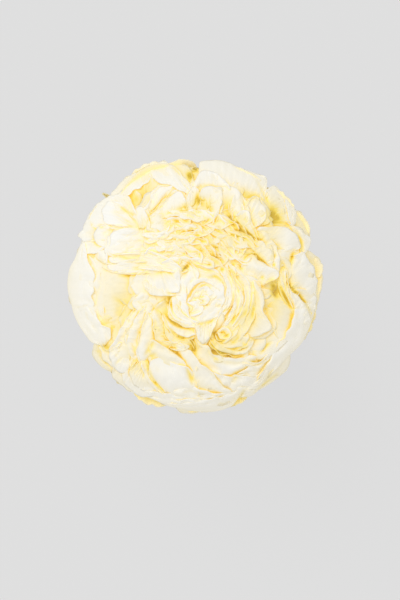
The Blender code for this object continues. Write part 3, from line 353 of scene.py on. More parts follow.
# Creases pressed into the upper petals: width and depth in mm and the line seen from above.
CREASES = (
    (3.6, 2.4, ((-35, 49), (-31, 47.5), (-27.5, 52), (-23.5, 58))),
    (1.0, 3.0, ((-24.5, 34), (-24.5, 38), (-20, 42.6), (-14, 48.8), (-12, 50.5))),
    (1.0, 2.6, ((-9, 42), (-5.5, 42.3), (-4.8, 45))),
    (0.8, 1.8, ((-42, 44), (-36, 40), (-32, 38.5))),
    (0.7, 1.5, ((-46, 41), (-38, 36), (-34, 33))),
    (0.7, 1.2, ((-44, 38), (-37, 33.5), (-33, 31))),
    (0.9, 1.5, ((-26.5, 33), (-24.5, 36.5))),
    (1.0, 2.6, ((-53.5, 33), (-50, 31.8))),
    (1.0, 2.4, ((-56, 27), (-54.5, 24), (-52.8, 21.8))),
    (1.0, 1.0, ((-58.5, 35.5), (-55.5, 32), (-54.5, 28))),
    (1.6, 3.0, ((-10, 36), (-10, 33))),
    (0.8, 1.8, ((-20, 25.6), (-14, 25), (-7, 24.5))),
    (0.8, 2.0, ((-41, 5.5), (-34, 5.8), (-27, 7))),
    (0.7, 1.4, ((-46, 17.8), (-40, 16), (-34, 13))),
    (1.0, 5.0, ((-7, 8), (-5, 9.8), (-2.8, 12.2))),
    (0.9, 2.4, ((-8.5, 14), (-5.5, 12.5))),
    (0.9, 2.2, ((-6.5, 16.5), (-3.5, 18.2))),
    (0.9, 2.2, ((-12.8, 16), (-11.5, 18.5))),
    (1.1, 2.4, ((-6, 35), (-2.5, 34.5), (2, 33), (8, 35.5))),
    (1.0, 2.4, ((-3, 32), (-1, 30))),
    (1.0, 2.0, ((-7, 30), (-4.5, 28.5))),
    (1.1, 3.2, ((0, 29), (3, 25.5), (5, 24))),
    (1.0, 2.6, ((0, 41), (3.5, 40))),
    (2.0, 4.5, ((1.5, 49), (2.5, 46), (5.5, 43.8))),
    (0.8, 2.2, ((-1, 44.8), (4, 44.3), (10, 41.5))),
    (0.9, 1.6, ((15, 49), (14.6, 44), (13, 39.5), (10.5, 35))),
    (0.7, 1.2, ((1, 53.5), (6, 55), (12, 54), (20, 54.6))),
    (2.2, 2.4, ((26, 52), (29, 49), (33, 48.8), (38, 45))),
    (1.0, 1.4, ((33.5, 60), (36.5, 53.5), (38.3, 49), (41, 44))),
    (2.6, 2.0, ((17.5, 50), (17, 44), (18, 38))),
    (1.7, 4.6, ((18.5, 38), (21, 33.8), (24, 31))),
    (1.7, 4.6, ((21, 34), (24, 30.5), (28, 28), (33.8, 25))),
    (0.8, 3.0, ((20, 27.8), (25, 26.6), (29.5, 24.8), (32.5, 20.8))),
    (2.6, 3.4, ((42.5, 43), (43, 37.8), (47.5, 36))),
    (1.3, 2.2, ((37, 33.4), (42, 34.6), (48, 34.4), (53, 31.8))),
    (1.1, 2.6, ((55.5, 30), (57.8, 26), (58.8, 22), (59, 18))),
    (0.9, 3.6, ((54.3, 19), (53, 15.5), (52.3, 12.3))),
    (1.0, 2.6, ((47.8, 12.5), (48.3, 9))),
    (0.8, 2.6, ((44.5, 22), (46.5, 19))),
    (0.7, 2.6, ((43.8, 17.5), (42.8, 15.3))),
    (0.7, 2.6, ((43.3, 12), (42.6, 10))),
    (1.0, 3.6, ((26, 13), (28.5, 16.2), (32, 16.8), (35.5, 14), (38.5, 11.4))),
    (0.9, 2.4, ((7, 21.3), (11.5, 20.6), (14, 19))),
    (2.2, 3.2, ((9, 18), (12, 14.8), (14, 12.8))),
    (1.3, 2.6, ((2.5, 19), (2.3, 16))),
    (0.9, 2.4, ((6.5, 12), (8.6, 11))),
    (1.2, 2.6, ((12, 32), (15, 30.2))),
    (1.0, 2.6, ((24, 10.3), (26, 9))),
    (0.9, 2.4, ((20, 12), (21.2, 10.8))),
    (1.1, 3.4, ((14.3, 8), (15.5, 9.6))),
    (0.8, 3.0, ((8, 4.8), (11, 4.9), (13.5, 3.6), (15.2, 1.8))),
    (1.0, 2.6, ((36.4, 5), (37, 4))),
    (1.7, 5.0, ((42.2, 1.6), (43.2, -2), (44.4, -5.4))),
    (2.4, 2.6, ((42, -3), (43.5, -6))),
    (0.9, 4.0, ((49.6, 5), (51.2, 0), (56, -4.3), (60, -9), (63, -13.3), (64.6, -18))),
    (1.0, 4.0, ((47, -1), (50, -7.3), (53, -12.5))),
    (0.8, 2.6, ((53.2, -14), (52.8, -18), (51.3, -24))),
    (0.7, 1.6, ((55.7, -14), (55.6, -18))),
    (0.5, 0.8, ((-69, -11), (-65, -11.6), (-61, -11.1), (-57, -9.8))),
    (1.3, 1.6, ((-44, -6.5), (-40, -8.8), (-34.5, -10))),
    (2.2, 1.2, ((-41.5, -12), (-41, -17))),
    (0.8, 2.4, ((-34, -13.5), (-32, -12.5))),
    (1.1, 4.4, ((-14, -4.5), (-13.4, -9), (-12.3, -13))),
    (1.1, 3.6, ((-16.5, -12.5), (-15.2, -17), (-9.3, -21.4), (-3, -22.6))),
    (1.0, 3.0, ((-14.5, -23), (-10, -27), (-5, -29), (-1.5, -28.5))),
    (1.2, 4.0, ((-1.8, -28), (-1.5, -32), (0, -36.5))),
    (1.0, 2.0, ((-26.8, -18), (-28.7, -24.5), (-30.8, -32.6))),
    (0.9, 2.0, ((-22, -19), (-21.8, -25), (-21, -29), (-18.8, -31.5))),
    (0.9, 2.0, ((-16.6, -19.5), (-16, -24), (-15.3, -28), (-12, -30.2))),
    (0.9, 2.2, ((-22.3, -30.3), (-24.5, -33.6), (-27.5, -38))),
    (0.8, 1.6, ((-30.5, -39.5), (-33.4, -44), (-35, -48.6))),
    (0.9, 1.6, ((-21.5, -37), (-25.3, -39.6))),
    (1.4, 9.0, ((-3.6, 61.6), (-2.6, 60.3), (-2.8, 59))),
    (1.1, 8.0, ((0.8, 66.5), (0.2, 64.5), (-0.8, 62.6))),
    (0.9, 2.6, ((-13.5, 67), (-10, 63.5), (-8, 61))),
    (1.0, 2.6, ((-19, -31), (-14.5, -33.6), (-9, -37.6), (-5.5, -41.5))),
    (0.8, 1.6, ((-12, -31.5), (-10, -32.5))),
    (0.9, 2.8, ((-26.6, -41), (-24.5, -48), (-20.8, -54.5), (-18, -57.5))),
    (1.1, 3.6, ((-4.6, -44.6), (-2.6, -49), (-1.5, -53.5))),
    (0.8, 1.8, ((-32.5, -42.5), (-35.5, -46.5), (-35.9, -49))),
    (0.7, 1.4, ((-40.5, -39.5), (-43.6, -43))),
    (2.0, 4.0, ((-51, -33.2), (-47, -34.4))),
    (0.9, 2.0, ((-57, -31.8), (-50.5, -40), (-48, -43.5))),
    (1.1, 4.4, ((9.8, -25), (12, -27), (13.3, -29.5), (15.3, -29.5))),
    (0.9, 2.4, ((16.5, -27.2), (19, -26.4))),
    (1.2, 4.6, ((9.3, -32), (10.6, -35.3), (17, -37), (24.3, -38))),
    (0.9, 2.6, ((18, -34), (22, -34.6), (26.3, -33.6), (28, -31))),
    (0.8, 2.2, ((19.5, -31.6), (22.2, -29.6), (24, -27.5))),
    (1.0, 1.4, ((7, -33), (8.2, -37), (14, -41), (22, -42.2), (28, -41))),
    (0.8, 2.2, ((27.5, -40), (31, -41), (33.5, -43), (37, -41.8), (39, -40))),
    (0.9, 3.0, ((36, -47), (38, -44.4), (40, -41.5))),
    (0.9, 2.6, ((36, -36.8), (38.6, -33.2), (41, -31))),
    (1.5, 2.8, ((22.8, -48.2), (21.2, -52))),
    (0.8, 1.6, ((4, -42.8), (8, -46.6), (12, -51), (15, -54.6), (18.5, -56.6))),
    (0.9, 4.0, ((27.2, -57.3), (24.8, -61.5), (22, -65.5))),
    (0.9, 3.0, ((42.2, -46.8), (38, -53))),
    (0.9, 3.4, ((45.5, -48.5), (40, -52.7), (33, -58.6))),
    (0.8, 2.2, ((1.5, -21), (6, -20.2), (11, -18.3))),
    (0.9, 2.2, ((26.3, -16.5), (28.8, -12.2))),
    (0.9, 2.2, ((31.2, -18), (32.2, -10))),
    (0.9, 1.8, ((20.8, -19), (21.6, -14))),
    (0.8, 2.0, ((15.3, -14), (19.3, -11.8))),
    (0.8, 1.8, ((17, 8), (21.5, 3), (24, -3))),
    (1.1, 1.6, ((12.5, -10.6), (14.5, -10.8))),
    (1.2, 1.8, ((2.5, -9.8), (6, -10.3), (8.3, -8))),
    (0.8, 1.4, ((-3, -6), (0, -2.2), (4.5, 0.5), (9, -0.5))),
    (0.7, 1.2, ((-8, -59.5), (-3, -57.5), (0, -58.6))),
    (0.8, 1.4, ((12, -62), (15, -60))),
)

# Where the top lies hollow and smooth: centre and half axes of an ellipse, in mm.
HOLLOWS = (
    (-46, -5, 10, 19),
    (45, -14, 8, 14),
    (-29, 53, 10, 8),
)
# Painted shade: where the bloom is coloured warmer, in its pits and hollows, and paler where the amount is
# below 0: centre and half axes of an ellipse in mm, and how much.
WARM_SHADE = (
    (10, 26, 20, 12, 0.8),
    (-42, -8, 11, 16, 0.5),
    (-18, -28, 13, 10, 0.4),
    (14, -32, 15, 6, 0.6),
    (29, -17, 8, 13, 0.6),
    (44, 38, 6, 8, 0.8),
    (46, -8, 7, 13, 0.5),
    (10, 12, 7, 4, 0.4),
    (39, 25, 8, 9, 0.4),
    (6, -39, 9, 5, 0.4),
    (-22, -46, 7, 5, 0.3),
    (-50, 34, 16, 14, -0.25),
    (-24, 52, 9, 7, -0.3),
)

# Guards: cells each way; how far out the rim follows the dome, half width from which on the folds are full
# and where the foot sits on the receptacle (radius, height), in mm; height and waves (how many, lowest and
# highest frequency) of the buckling; how much the cells draw together at the rim.
GUARD_CELLS = 36
GUARD_RADIUS = 66
FULL_WIDTH = 14
FOOT = (7, 5)
BUCKLE = 1.3
BUCKLE_WAVES = (4, 1.5, 4.5)
GATHER = 1.25
# Painted shade: the guards, low on the bloom's side, are coloured warmer.
GUARD_SHADE_WARMTH = 0.8

# Rings of broad side petals: how many, radius and height of their tops in mm, first azimuth in degrees; their
# cells, and the depth under the top, in mm, that the sides are coloured for as painted shade.
SIDE_RINGS = (
    (9, 62.5, 50.0, 12),
    (8, 63.5, 42.0, 34),
)
SIDE_CELLS = (28, 24)
SIDE_DEPTH = 2.0

# Small petals over the heart: how many, middle and half axes of their ellipse in mm. Petals that fill the
# gaps: how many and how far out. Plain petals inside BEHIND_RADIUS have a second rim behind them.
HEART_PETALS = 66
HEART_CENTRE = (2, 24)
HEART_SPREAD = (23, 15)
UNDER_PETALS = 130
UNDER_RADIUS = 62
BEHIND_RADIUS = 60
UPPER_PIECES = 5
GOLDEN_ANGLE = 137.508
GOLDEN_SHARE = 0.618

# The core under the petals: its side (radius, height), then radii of its top and its depth under the dome.
CORE_SIDE = ((0, 8), (16, 12), (30, 27), (40, 42), (50, 52))
CORE_RADII = (54, 50, 42, 34, 26, 18, 10, 0)
CORE_DEPTH = 8
CORE_SIDES = 60

# Petal colours from open to closed, both ends first, the closed end a painted shade of deep golden yellow, and
# what is mixed into them: veins, painted olive shade on steep faces, a paler edge, dry lines, and the strength
# of the painted glow.
PETAL_COLOURS = (
    (0.00, (0.926, 0.924, 0.890)),
    (1.00, (0.68, 0.49, 0.06)),
    (0.15, (0.935, 0.902, 0.800)),
    (0.30, (0.94, 0.864, 0.645)),
    (0.45, (0.945, 0.825, 0.470)),
    (0.62, (0.94, 0.785, 0.290)),
    (0.80, (0.905, 0.70, 0.12)),
)
VEIN_YELLOW = (0.90, 0.80, 0.52)
STEEP_SHADE_OLIVE = (0.90, 0.84, 0.60)
EDGE_CREAM = (0.93, 0.91, 0.82)
DRY_BROWN = (0.80, 0.66, 0.36)
PAINTED_GLOW = 0.25
# How near, in metres, petals have to be to paint shade into a crease and a hollow.
CREASE_REACH = 0.006
HOLLOW_REACH = 0.030

# Greens, young and old, and what is mixed into them; glaze, its clouds and specks, and the bare foot.
CALYX_GREENS = ((0.30, 0.38, 0.12), (0.20, 0.28, 0.07))
STEM_GREENS = ((0.26, 0.38, 0.12), (0.17, 0.28, 0.07))
BLOTCH_BROWN = (0.33, 0.20, 0.09)
TIP_YELLOW = (0.98, 0.88, 0.50)
GLAZES = ((0.76, 0.75, 0.71), (0.82, 0.81, 0.77))
SPECK_BROWN = (0.30, 0.24, 0.17)
BARE_CLAY = (0.62, 0.50, 0.38)

# Sepals: azimuth in degrees, length seen from above and half width in mm, height of the tip in mm.
SEPALS = (
    (20, 24, 9.0, 6.6),
    (92, 27, 9.5, 7.4),
    (165, 23, 8.5, 6.4),
    (236, 26, 9.0, 6.8),
    (308, 25, 9.5, 6.6),
)
# Leafy bracts under them, narrow and pointed, the last number how far the tip bends sideways.
BRACTS = (
    (132.5, 72.5, 4.6, 34.0, 3.0),
    (89.3, 65.8, 4.2, 36.0, 0.0),
    (250, 44, 4.4, 14.0, 0.0),
)
SEPAL_CELLS = (16, 30)
SEPAL_FOOT = (5, -0.8)
SEPAL_THICKNESS = 0.7

# Calyx cup and vase as (radius, height), and the stem's middle line, in metres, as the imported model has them.
CUP_PROFILE = (
    (0.0000, 0.1598),
    (0.0042, 0.1598),
    (0.0062, 0.1612),
    (0.0088, 0.1645),
    (0.0088, 0.1672),
    (0.0000, 0.1672),
)
CUP_SIDES = 48
STEM_RADIUS = 0.0035
STEM_SIDES = 32
STEM_PATH = (
    (-0.0140, 0.0060, 0.0052),
    (-0.0072, 0.0030, 0.0500),
    (0.0010, -0.0004, 0.0880),
    (0.0079, -0.0033, 0.1200),
    (0.0077, -0.0033, 0.1360),
    (0.0026, -0.0011, 0.1480),
    (0.0000, 0.0000, 0.1560),
    (0.0000, 0.0000, 0.1592),
)
# Leaf scars: place and width as shares of the stem's length, and how far they swell it.
SCARS = (
    (0.36, 0.018, 0.10),
    (0.70, 0.015, 0.08),
)
VASE_FOOT = (
    (0.0, 0.0012),
    (0.0235, 0.0012),
    (0.0245, 0.0003),
    (0.0252, 0.0),
    (0.0278, 0.0),
    (0.0287, 0.0006),
    (0.0292, 0.0020),
    (0.0300, 0.0040),
)
VASE_OUTER = (
    (0.0310, 0.0060),
    (0.0395, 0.0210),
    (0.0445, 0.0370),
    (0.0462, 0.0530),
    (0.0450, 0.0690),
    (0.0402, 0.0850),
    (0.0318, 0.0990),
    (0.0228, 0.1095),
    (0.0180, 0.1180),
    (0.0165, 0.1260),
    (0.0172, 0.1340),
    (0.0196, 0.1425),
    (0.0230, 0.1490),
)
VASE_WALL = 0.0035
VASE_FLOOR = 0.0042
VASE_SIDES = 96
# Inside, over the floor: the end of the wall, and the rounded corner.
WALL_END = 0.003
VASE_CORNER = (
    (0.0285, 0.0018),
    (0.0265, 0.0004),
    (0.0245, 0.0),
    (0.0, 0.0),
)
# Where the glaze begins and where it is full.
GLAZE_LINE = (0.0068, 0.0076)


def unit(v):
    return v / np.maximum(np.linalg.norm(v, axis=-1, keepdims=True), 1e-9)


def normals(sheet):
    return unit(np.cross(np.gradient(sheet, axis=0), np.gradient(sheet, axis=1)))


def bezier(t, a, b, c, d):
    return (1 - t) ** 3 * a + 3 * (1 - t) ** 2 * t * b + 3 * (1 - t) * t * t * c + t ** 3 * d


def catmull(points, steps):
    """Points along a smooth curve through the given ones."""
    pts = np.array(points)
    pts = np.vstack([2 * pts[0] - pts[1], pts, 2 * pts[-1] - pts[-2]])
    out = []
    for a, b, c, d in zip(pts, pts[1:], pts[2:], pts[3:]):
        for k in range(steps):
            t = k / steps
            out.append(0.5 * (2 * b + (c - a) * t + (2 * a - 5 * b + 4 * c - d) * t * t
                              + (3 * b - a - 3 * c + d) * t ** 3))
    return np.array([*out, pts[-2]])


def curve(points, count):
    """Points evenly spaced along a smooth curve through the given ones."""
    path = catmull(points, 8)
    run = np.concatenate([[0], np.cumsum(np.linalg.norm(np.diff(path, axis=0), axis=1))])
    at = np.linspace(0, run[-1], count)
    return np.stack([np.interp(at, run, path[:, k]) for k in (0, 1)], -1)


def extended(points, at):
    """Points at shares of the length of a smooth curve, which runs straight on past its ends."""
    path = curve(points, 200)
    share = np.linspace(0, 1, len(path))
    out = np.stack([np.interp(at, share, path[:, k]) for k in (0, 1)], -1)
    first, last = (path[1] - path[0]) / share[1], (path[-1] - path[-2]) / share[1]
    return out + np.minimum(at, 0)[..., None] * first + np.maximum(at - 1, 0)[..., None] * last


def dome(radius):
    """Height of the bloom's top, in mm over its base."""
    radius = np.minimum(radius, DOME_REACH)
    return DOME_EDGE + DOME_RISE * np.sqrt(1 - (radius / DOME_RADIUS) ** 3)


def dome_fall(radius):
    """How steeply the top falls away, in mm per mm of radius."""
    radius = np.minimum(radius, STEEP_RADIUS)
    return DOME_RISE * 1.5 * radius ** 2 / DOME_RADIUS ** 3 / np.sqrt(1 - (radius / DOME_RADIUS) ** 3)


def waves(rng, count, low, high, across=1.0, along=1.0):
    """Random sine waves over a petal: frequency along its width and length, phase, weight."""
    return [(rng.uniform(low, high) * rng.choice([-1, 1]) * across, rng.uniform(low, high) * along,
             rng.uniform(0, 6.283), rng.uniform(0.5, 1)) for _ in range(count)]


def field(components, u, v=0.0):
    """Height of the waves at shares of a petal's width and length."""
    return sum(w * np.sin(f * u + g * v + p) for f, g, p, w in components) / len(components)


def on_side(sheet, warmth, side):
    """A sheet on the bloom's side with what colours it, partly as painted shade: warmth, closedness, depth,
    share of the side.
    """
    return [sheet] + [np.broadcast_to(part, sheet.shape[:2]) for part in (warmth, 0.0, SIDE_DEPTH, side)]


def guard(row, rng):
    """Sheet of a guard petal, in mm from the bloom's base, from its foot to its rim."""
    kind, left, middle, right, offset, lean, reach = row
    left, middle, right = (np.array([*p, 0.0]) for p in (left, middle, right))
    u = np.linspace(-1, 1, GUARD_CELLS + 1)[None, :, None]
    v = 1 - (1 - np.linspace(0, 1, GUARD_CELLS + 1)[:, None, None]) ** GATHER

    # The rim seen from above, and the way its tip points.
    rim = left * u * (u - 1) / 2 + middle * (1 - u * u) + right * u * (u + 1) / 2
    slope = left * (2 * u - 1) / 2 - middle * 2 * u + right * (2 * u + 1) / 2
    chord = unit(right - left)
    run = unit(0.6 * unit(slope) + 0.8 * chord)
    out = np.stack([run[..., 1], -run[..., 0], 0 * run[..., 0]], -1)
    radius = np.linalg.norm(rim, axis=-1, keepdims=True)
    fall = 0.45 * dome_fall(radius) * (unit(rim) * out).sum(-1, keepdims=True) * (kind != "u")
    angle = np.radians(lean) + np.arctan(fall)
    tip = out * np.sin(angle) + UP * np.cos(angle)

    # The rim with rounded shoulders, and the curve up to it from the foot on the receptacle.
    width = np.linalg.norm(right - left) / 2
    rim = rim + UP * (dome(np.minimum(radius, GUARD_RADIUS)) + offset) - tip * (width * 0.14 * u ** 4)
    mid = rim[:, GUARD_CELLS // 2][:, None]
    ray = unit(mid * PLAN)
    foot = ray * FOOT[0] + UP * FOOT[1]
    claw = 3.0 + 0.1 * width
    belly = 1.15
    neck = mid + (rim - mid) * belly - tip * (reach * (1 - 0.1 * u ** 4))
    if kind == "g":
        bow = foot + unit(ray * 1.25 + UP * 0.12) * np.linalg.norm(mid - foot) * 0.42
    else:
        bow = foot + 0.55 * (neck.mean(axis=1, keepdims=True) - foot) + UP * mid[0, 0, 2] * 0.24
    bow = bow + chord * (claw + 0.85 * (width * belly - claw)) * u
    sheet = bezier(v, foot + chord * claw * u, bow, neck, rim)
    u, v = u[..., 0], v[..., 0]
    if kind == "u":
        sheet[..., 2] += 8 * u ** 2 * v * (1.6 - v)

    # Gentle buckling, then pleats, crinkles and the frilled, slightly torn edge.
    size = min(1.0, width / FULL_WIDTH)
    lift = BUCKLE * size * v * field(waves(rng, *BUCKLE_WAVES), u, 2 * v)
    sheet = sheet + normals(sheet) * lift[..., None]
    pleats = waves(rng, 3, 7, 14, along=0.12)
    crinkles = waves(rng, 5, 12, 26)
    frill = waves(rng, 3, 6, 13)
    ripple = waves(rng, 2, 20, 34)
    lift = size * (0.25 * v ** 1.5 * field(pleats, u, v) + 0.14 * v * field(crinkles, u, v)
                   + 0.9 * v ** 7 * field(frill, u) + 0.2 * v ** 10 * field(ripple, u))
    back = size * v ** 6 * (0.9 * field(frill, 1.3 * u + 2) + 0.3 * field(ripple, 1.1 * u + 1))
    sheet = sheet + normals(sheet) * lift[..., None] - unit(np.gradient(sheet, axis=0)) * back[..., None]
    return on_side(sheet, GUARD_SHADE_WARMTH, np.clip((0.9 - v) / 0.15, 0, 1))


def hanging(edge, count, narrow=False):
    """Rows of points up the bloom's side to a given edge, which is left out. They start from the receptacle,
    or for a narrow petal from between the side petals."""
    ray = unit(edge * PLAN)
    t = np.linspace(0, 1, count + 1)[:-1, None, None]
    if narrow:
        level = edge[..., 2:] * UP
        start, bow, neck = ray * 45 + level - UP * 22, ray * 60 + level - UP * 17, edge - ray * 0.5 - UP * 8
    else:
        start, bow, neck = ray * 8 + UP * 6, ray * 40 + UP * 3, edge - ray * 0.5 - UP * 16
    return bezier(t, start, bow, neck, edge)


def side_petals(rng):
    """Broad petals in two rings that close the bloom's side under the uppermost ones."""
    sheets = []
    u = np.linspace(-1, 1, SIDE_CELLS[0] + 1)
    v = np.linspace(0, 1, SIDE_CELLS[1] + 1)[:, None]
    for count, radius, top, start in SIDE_RINGS:
        for k in range(count):
            middle = math.radians(start + 360 * k / count + rng.uniform(-6, 6))
            angle = middle + u * math.radians(360 / count * 0.85)
            ripple = field(waves(rng, 4, 2, 9), u)
            far = radius + 0.8 * ripple - 2.0 * u ** 4
            height = top + rng.uniform(-3, 3) - 9 * u ** 4 + 1.6 * ripple
            edge = np.stack([far * np.cos(angle), far * np.sin(angle), height], -1)
            sheet = np.concatenate([hanging(edge, SIDE_CELLS[1]), edge[None]])
            pleats = [(f, 0.6, p, w) for f, _, p, w in waves(rng, 4, 5, 16)]
            relief = 0.7 * v * field(pleats, u, v) + 1.2 * v * field(waves(rng, 3, 1.5, 4), u, 2 * v)
            sheet = sheet - unit(sheet * PLAN) * (0.6 - relief)[..., None]
            sheets.append(on_side(sheet, rng.uniform(0.0, 0.3), 1.0))
    return sheets


def creases(x, y, clear):
    """How far the creases press the surface in, in mm, and how closed it is there, from 0 on, which the petals'
    colour turns into painted shade. The shallow ones fade out by the share of each point that is clear of a
    rim."""
    pressed, closed = np.zeros_like(x), np.zeros_like(x)
    for width, depth, line in CREASES:
        path = catmull(line, 6)
        low, high = path.min(axis=0) - 6 * width, path.max(axis=0) + 6 * width
        near = (x > low[0]) & (x < high[0]) & (y > low[1]) & (y < high[1])
        if not near.any():
            continue
        px, py = x[near], y[near]
        best, place = np.full(px.shape, 1e9), np.zeros(px.shape)
        for k, (a, b) in enumerate(zip(path, path[1:])):
            step = b - a
            t = np.clip(((px - a[0]) * step[0] + (py - a[1]) * step[1]) / max(step @ step, 1e-9), 0, 1)
            gap = (px - a[0] - t * step[0]) ** 2 + (py - a[1] - t * step[1]) ** 2
            nearer = gap < best
            best[nearer], place[nearer] = gap[nearer], (k + t[nearer]) / (len(path) - 1)
        taper = 0.35 + 0.65 * np.sin(np.pi * np.clip(place, 0.03, 0.97)) ** 0.6
        taper *= np.maximum(clear[near], depth > DEEP_CREASE)
        gap = np.sqrt(best) / width
        groove = (0.7 * np.exp(-gap ** 2) + 0.3 * np.exp(-gap / 1.8)) * taper
        pressed[near] = np.maximum(pressed[near], GROOVE * depth * groove)
        closed[near] = np.maximum(closed[near], min(depth / 4, 2.0) * groove)
    return pressed, closed


def folds(u, v, width, length, style, rng):
    """Pleats, crinkles, sharp ridges and the frill of the rim, in mm."""
    pleats = waves(rng, 5, 12, 34, width / 22, 0.08)
    crinkles = waves(rng, 7, 8, 24, width / 20, length / 20)
    frill = waves(rng, 3, 5, 12, width / 20)
    ridges = waves(rng, 3, 7, 15, width / 30, length / 30)
    sharp = np.maximum(0, 1 - 3.2 * np.abs(field(ridges, u, v))) ** 2
    return (style.pleat * np.minimum(1, 3 * v) * field(pleats, 2 * u, v)
            + style.crinkle * (0.6 * field(crinkles, u, v) - 0.55 * sharp)
            + 0.5 * np.exp(-(1 - v) * length / 3) * field(frill, 2 * u))


# Painted shade: warmer colour in the bloom's pits and hollows.
def shade_spots(x, y):
    return sum(amount * np.exp(-((x - cx) / a) ** 2 - ((y - cy) / b) ** 2) for cx, cy, a, b, amount in WARM_SHADE)


def same_way(foot, rim):
    """The hidden edge as points that run the same way as the rim's."""
    along, crossed = (sum(np.linalg.norm(foot[i] - rim[j]) for i, j in pairs)
                      for pairs in (((0, 0), (-1, -1)), ((0, -1), (-1, 0))))
    return foot[::-1] if along > crossed else foot


def flush(row, cell, rng):
    """Sheet of an upper petal, in mm from the bloom's base, from its hidden edge to its rim, with what
    colours it, much of it as painted shade: warmth, closedness, depth under the dome, share of the bloom's
    side."""
    lift, warmth, kind, foot, rim = row
    over, style = kind[0] == "i", STYLES[kind[1:] or "s"]
    foot, rim = np.array(foot, float), np.array(rim, float)
    foot = same_way(foot, rim)
    hangs = over and np.hypot(*foot.T).min() > HANGING_RADIUS
    fine = curve(rim, 60)
    width = np.linalg.norm(np.diff(fine, axis=0), axis=1).sum()
    length = np.linalg.norm(fine - curve(foot, 60), axis=1).mean()
    cols, rows = (int(np.clip(span / cell, FEWEST_CELLS, most)) + 1
                  for span, most in zip((width + 2 * SKIRT, length), MOST_CELLS))
    u, v = np.meshgrid(np.linspace(-SKIRT / width, 1 + SKIRT / width, cols), np.linspace(0, 1, rows))
    inside = np.clip(u, 0, 1)
    u = inside + (u - inside) * (1 - 0.85 * v ** 3)
    size = min(1.0, width / FULL_SPAN)

    # Seen from above: straight from the hidden edge to a slightly ragged rim.
    ragged = style.ragged * field(waves(rng, 4, 6, 26, width / FULL_SPAN), u)
    reach = v + 0.55 * ragged * v ** 4 / max(length, 6)
    place = extended(foot, u) * (1 - reach[..., None]) + extended(rim, u) * reach[..., None]
    x, y = place[..., 0], place[..., 1]

    # Height: lowest at the hidden edge, full in the middle, the sides slipping under the neighbours.
    beyond = np.maximum(np.maximum(-u, u - 1), 0) * width
    short = (1 - v) * length
    drop = DROPS[0 if hangs else 1] * min(1.0, length / style.full_length) * (1 - v) ** 1.4
    belly = style.belly * min(1.0, length / 14) * 4 * v * (1 - v)
    rim_pressed = np.clip(0.45 + 1.5 * field(waves(rng, 3, 3, 12), u * max(1, width / 25)), 0, 1)
    rim_pressed = style.pressed + (1 - style.pressed) * rim_pressed
    tuck = size * (style.tuck * rim_pressed - CURL * (1 - rim_pressed)) * np.exp(-short / style.tuck_length)
    tuck += 0.25 * beyond + 0.08 * beyond ** 2
    swell = 1.8 * size * field(waves(rng, 4, 1.5, 5), 2 * u, 2 * v)
    if over:
        swell += style.billow * size * (np.abs(field(waves(rng, 3, 2, 6), 2 * u, 2 * v)) - 0.3)
    else:
        swell += SIDE_TILT * size * rng.uniform(-1, 1) * (2 * inside - 1) * v
    relief = size * folds(u, v, width, length, style, rng)
    pressed, closed = creases(x, y, np.clip(0.35 + short / 2.5, 0, 1))
    top = dome(np.hypot(x, y))
    z = top + STEP * lift - drop + belly - tuck + swell + relief - pressed
    sheet, depth = np.stack([x, y, z], -1), top - z
    # Painted shade: warmer towards the hidden foot of a rising petal and in the bloom's pits and hollows.
    tone = warmth + (not over) * (1 - v) ** 2 + shade_spots(x, y)
    side = np.zeros_like(x)

    # The part that hangs down the side to the base.
    if hangs:
        count = int(rows * 0.6)
        sheet = np.concatenate([hanging(sheet[0], count, np.linalg.norm(foot[-1] - foot[0]) < WIDE), sheet])
        side = np.exp(-v * length / 4)
        tone, closed, depth, side = (
            np.concatenate([np.full((count, cols), below), part])
            for below, part in ((warmth, tone), (0.0, closed), (0.0, depth), (1.0, side)))
    return sheet, tone, closed, depth, side


def has_behind(row):
    """Plain and crumpled petals inside the bloom's edge have a second rim behind them."""
    return row[2] in ("o", "os", "oc") and np.hypot(*np.transpose(row[4])).max() < BEHIND_RADIUS


def behind(row, k):
    """The next petal under one, its rim showing a little beyond the upper one's."""
    lift, warmth, kind, foot, rim = row
    rng = np.random.default_rng(BEHIND_SEED + k)
    foot, rim = np.array(foot, float), np.array(rim, float)
    root = foot.mean(axis=0)
    shift = unit(rim.mean(axis=0) - root) * rng.uniform(1.0, 2.2) + rng.uniform(-0.8, 0.8, 2)
    lower = lift - rng.uniform(0.9, 1.5)
    # Painted shade: the lower petal is coloured warmer.
    return lower, warmth + 0.3, kind, foot, root + (rim - root) * rng.uniform(0.98, 1.05) + shift


def tongue(place, face, half_width, length, lift, warmth, kind):
    """A small petal row about a place, from the way it faces."""
    ahead = np.array([math.cos(face), math.sin(face)])
    side = np.array([-ahead[1], ahead[0]])
    foot = [place - ahead * length * 0.6 + side * half_width * s for s in (-0.5, 0.5)]
    rim = [place + side * half_width * math.sin(a) + ahead * length * (0.45 * math.cos(a) - 0.05)
           for a in np.radians((-95, -50, 0, 50, 95))]
    return lift, warmth, kind, foot, rim


def spiral(count):
    """Directions and places, from the middle out to 1, spread evenly over a disc."""
    for k in range(count):
        turn = math.radians(GOLDEN_ANGLE * k)
        yield turn, np.array((math.cos(turn), math.sin(turn))) * math.sqrt((k + 0.5) / count)


def heart(rng):
    """Small crumpled petals over the upper heart."""
    rows = []
    for _, spot in spiral(HEART_PETALS):
        place = HEART_CENTRE + HEART_SPREAD * spot + rng.uniform(-1.5, 1.5, 2)
        face = math.radians(90 - 45 * min(max((place[0] + 15) / 35, 0), 1)) + rng.normal(0, 0.3)
        face += math.pi * (rng.random() < 0.35)
        rows.append(tongue(place, face, rng.uniform(5, 11), rng.uniform(4, 7), rng.uniform(-1.2, 1.0),
                           rng.uniform(-0.3, 0.4), "oh"))
    return rows


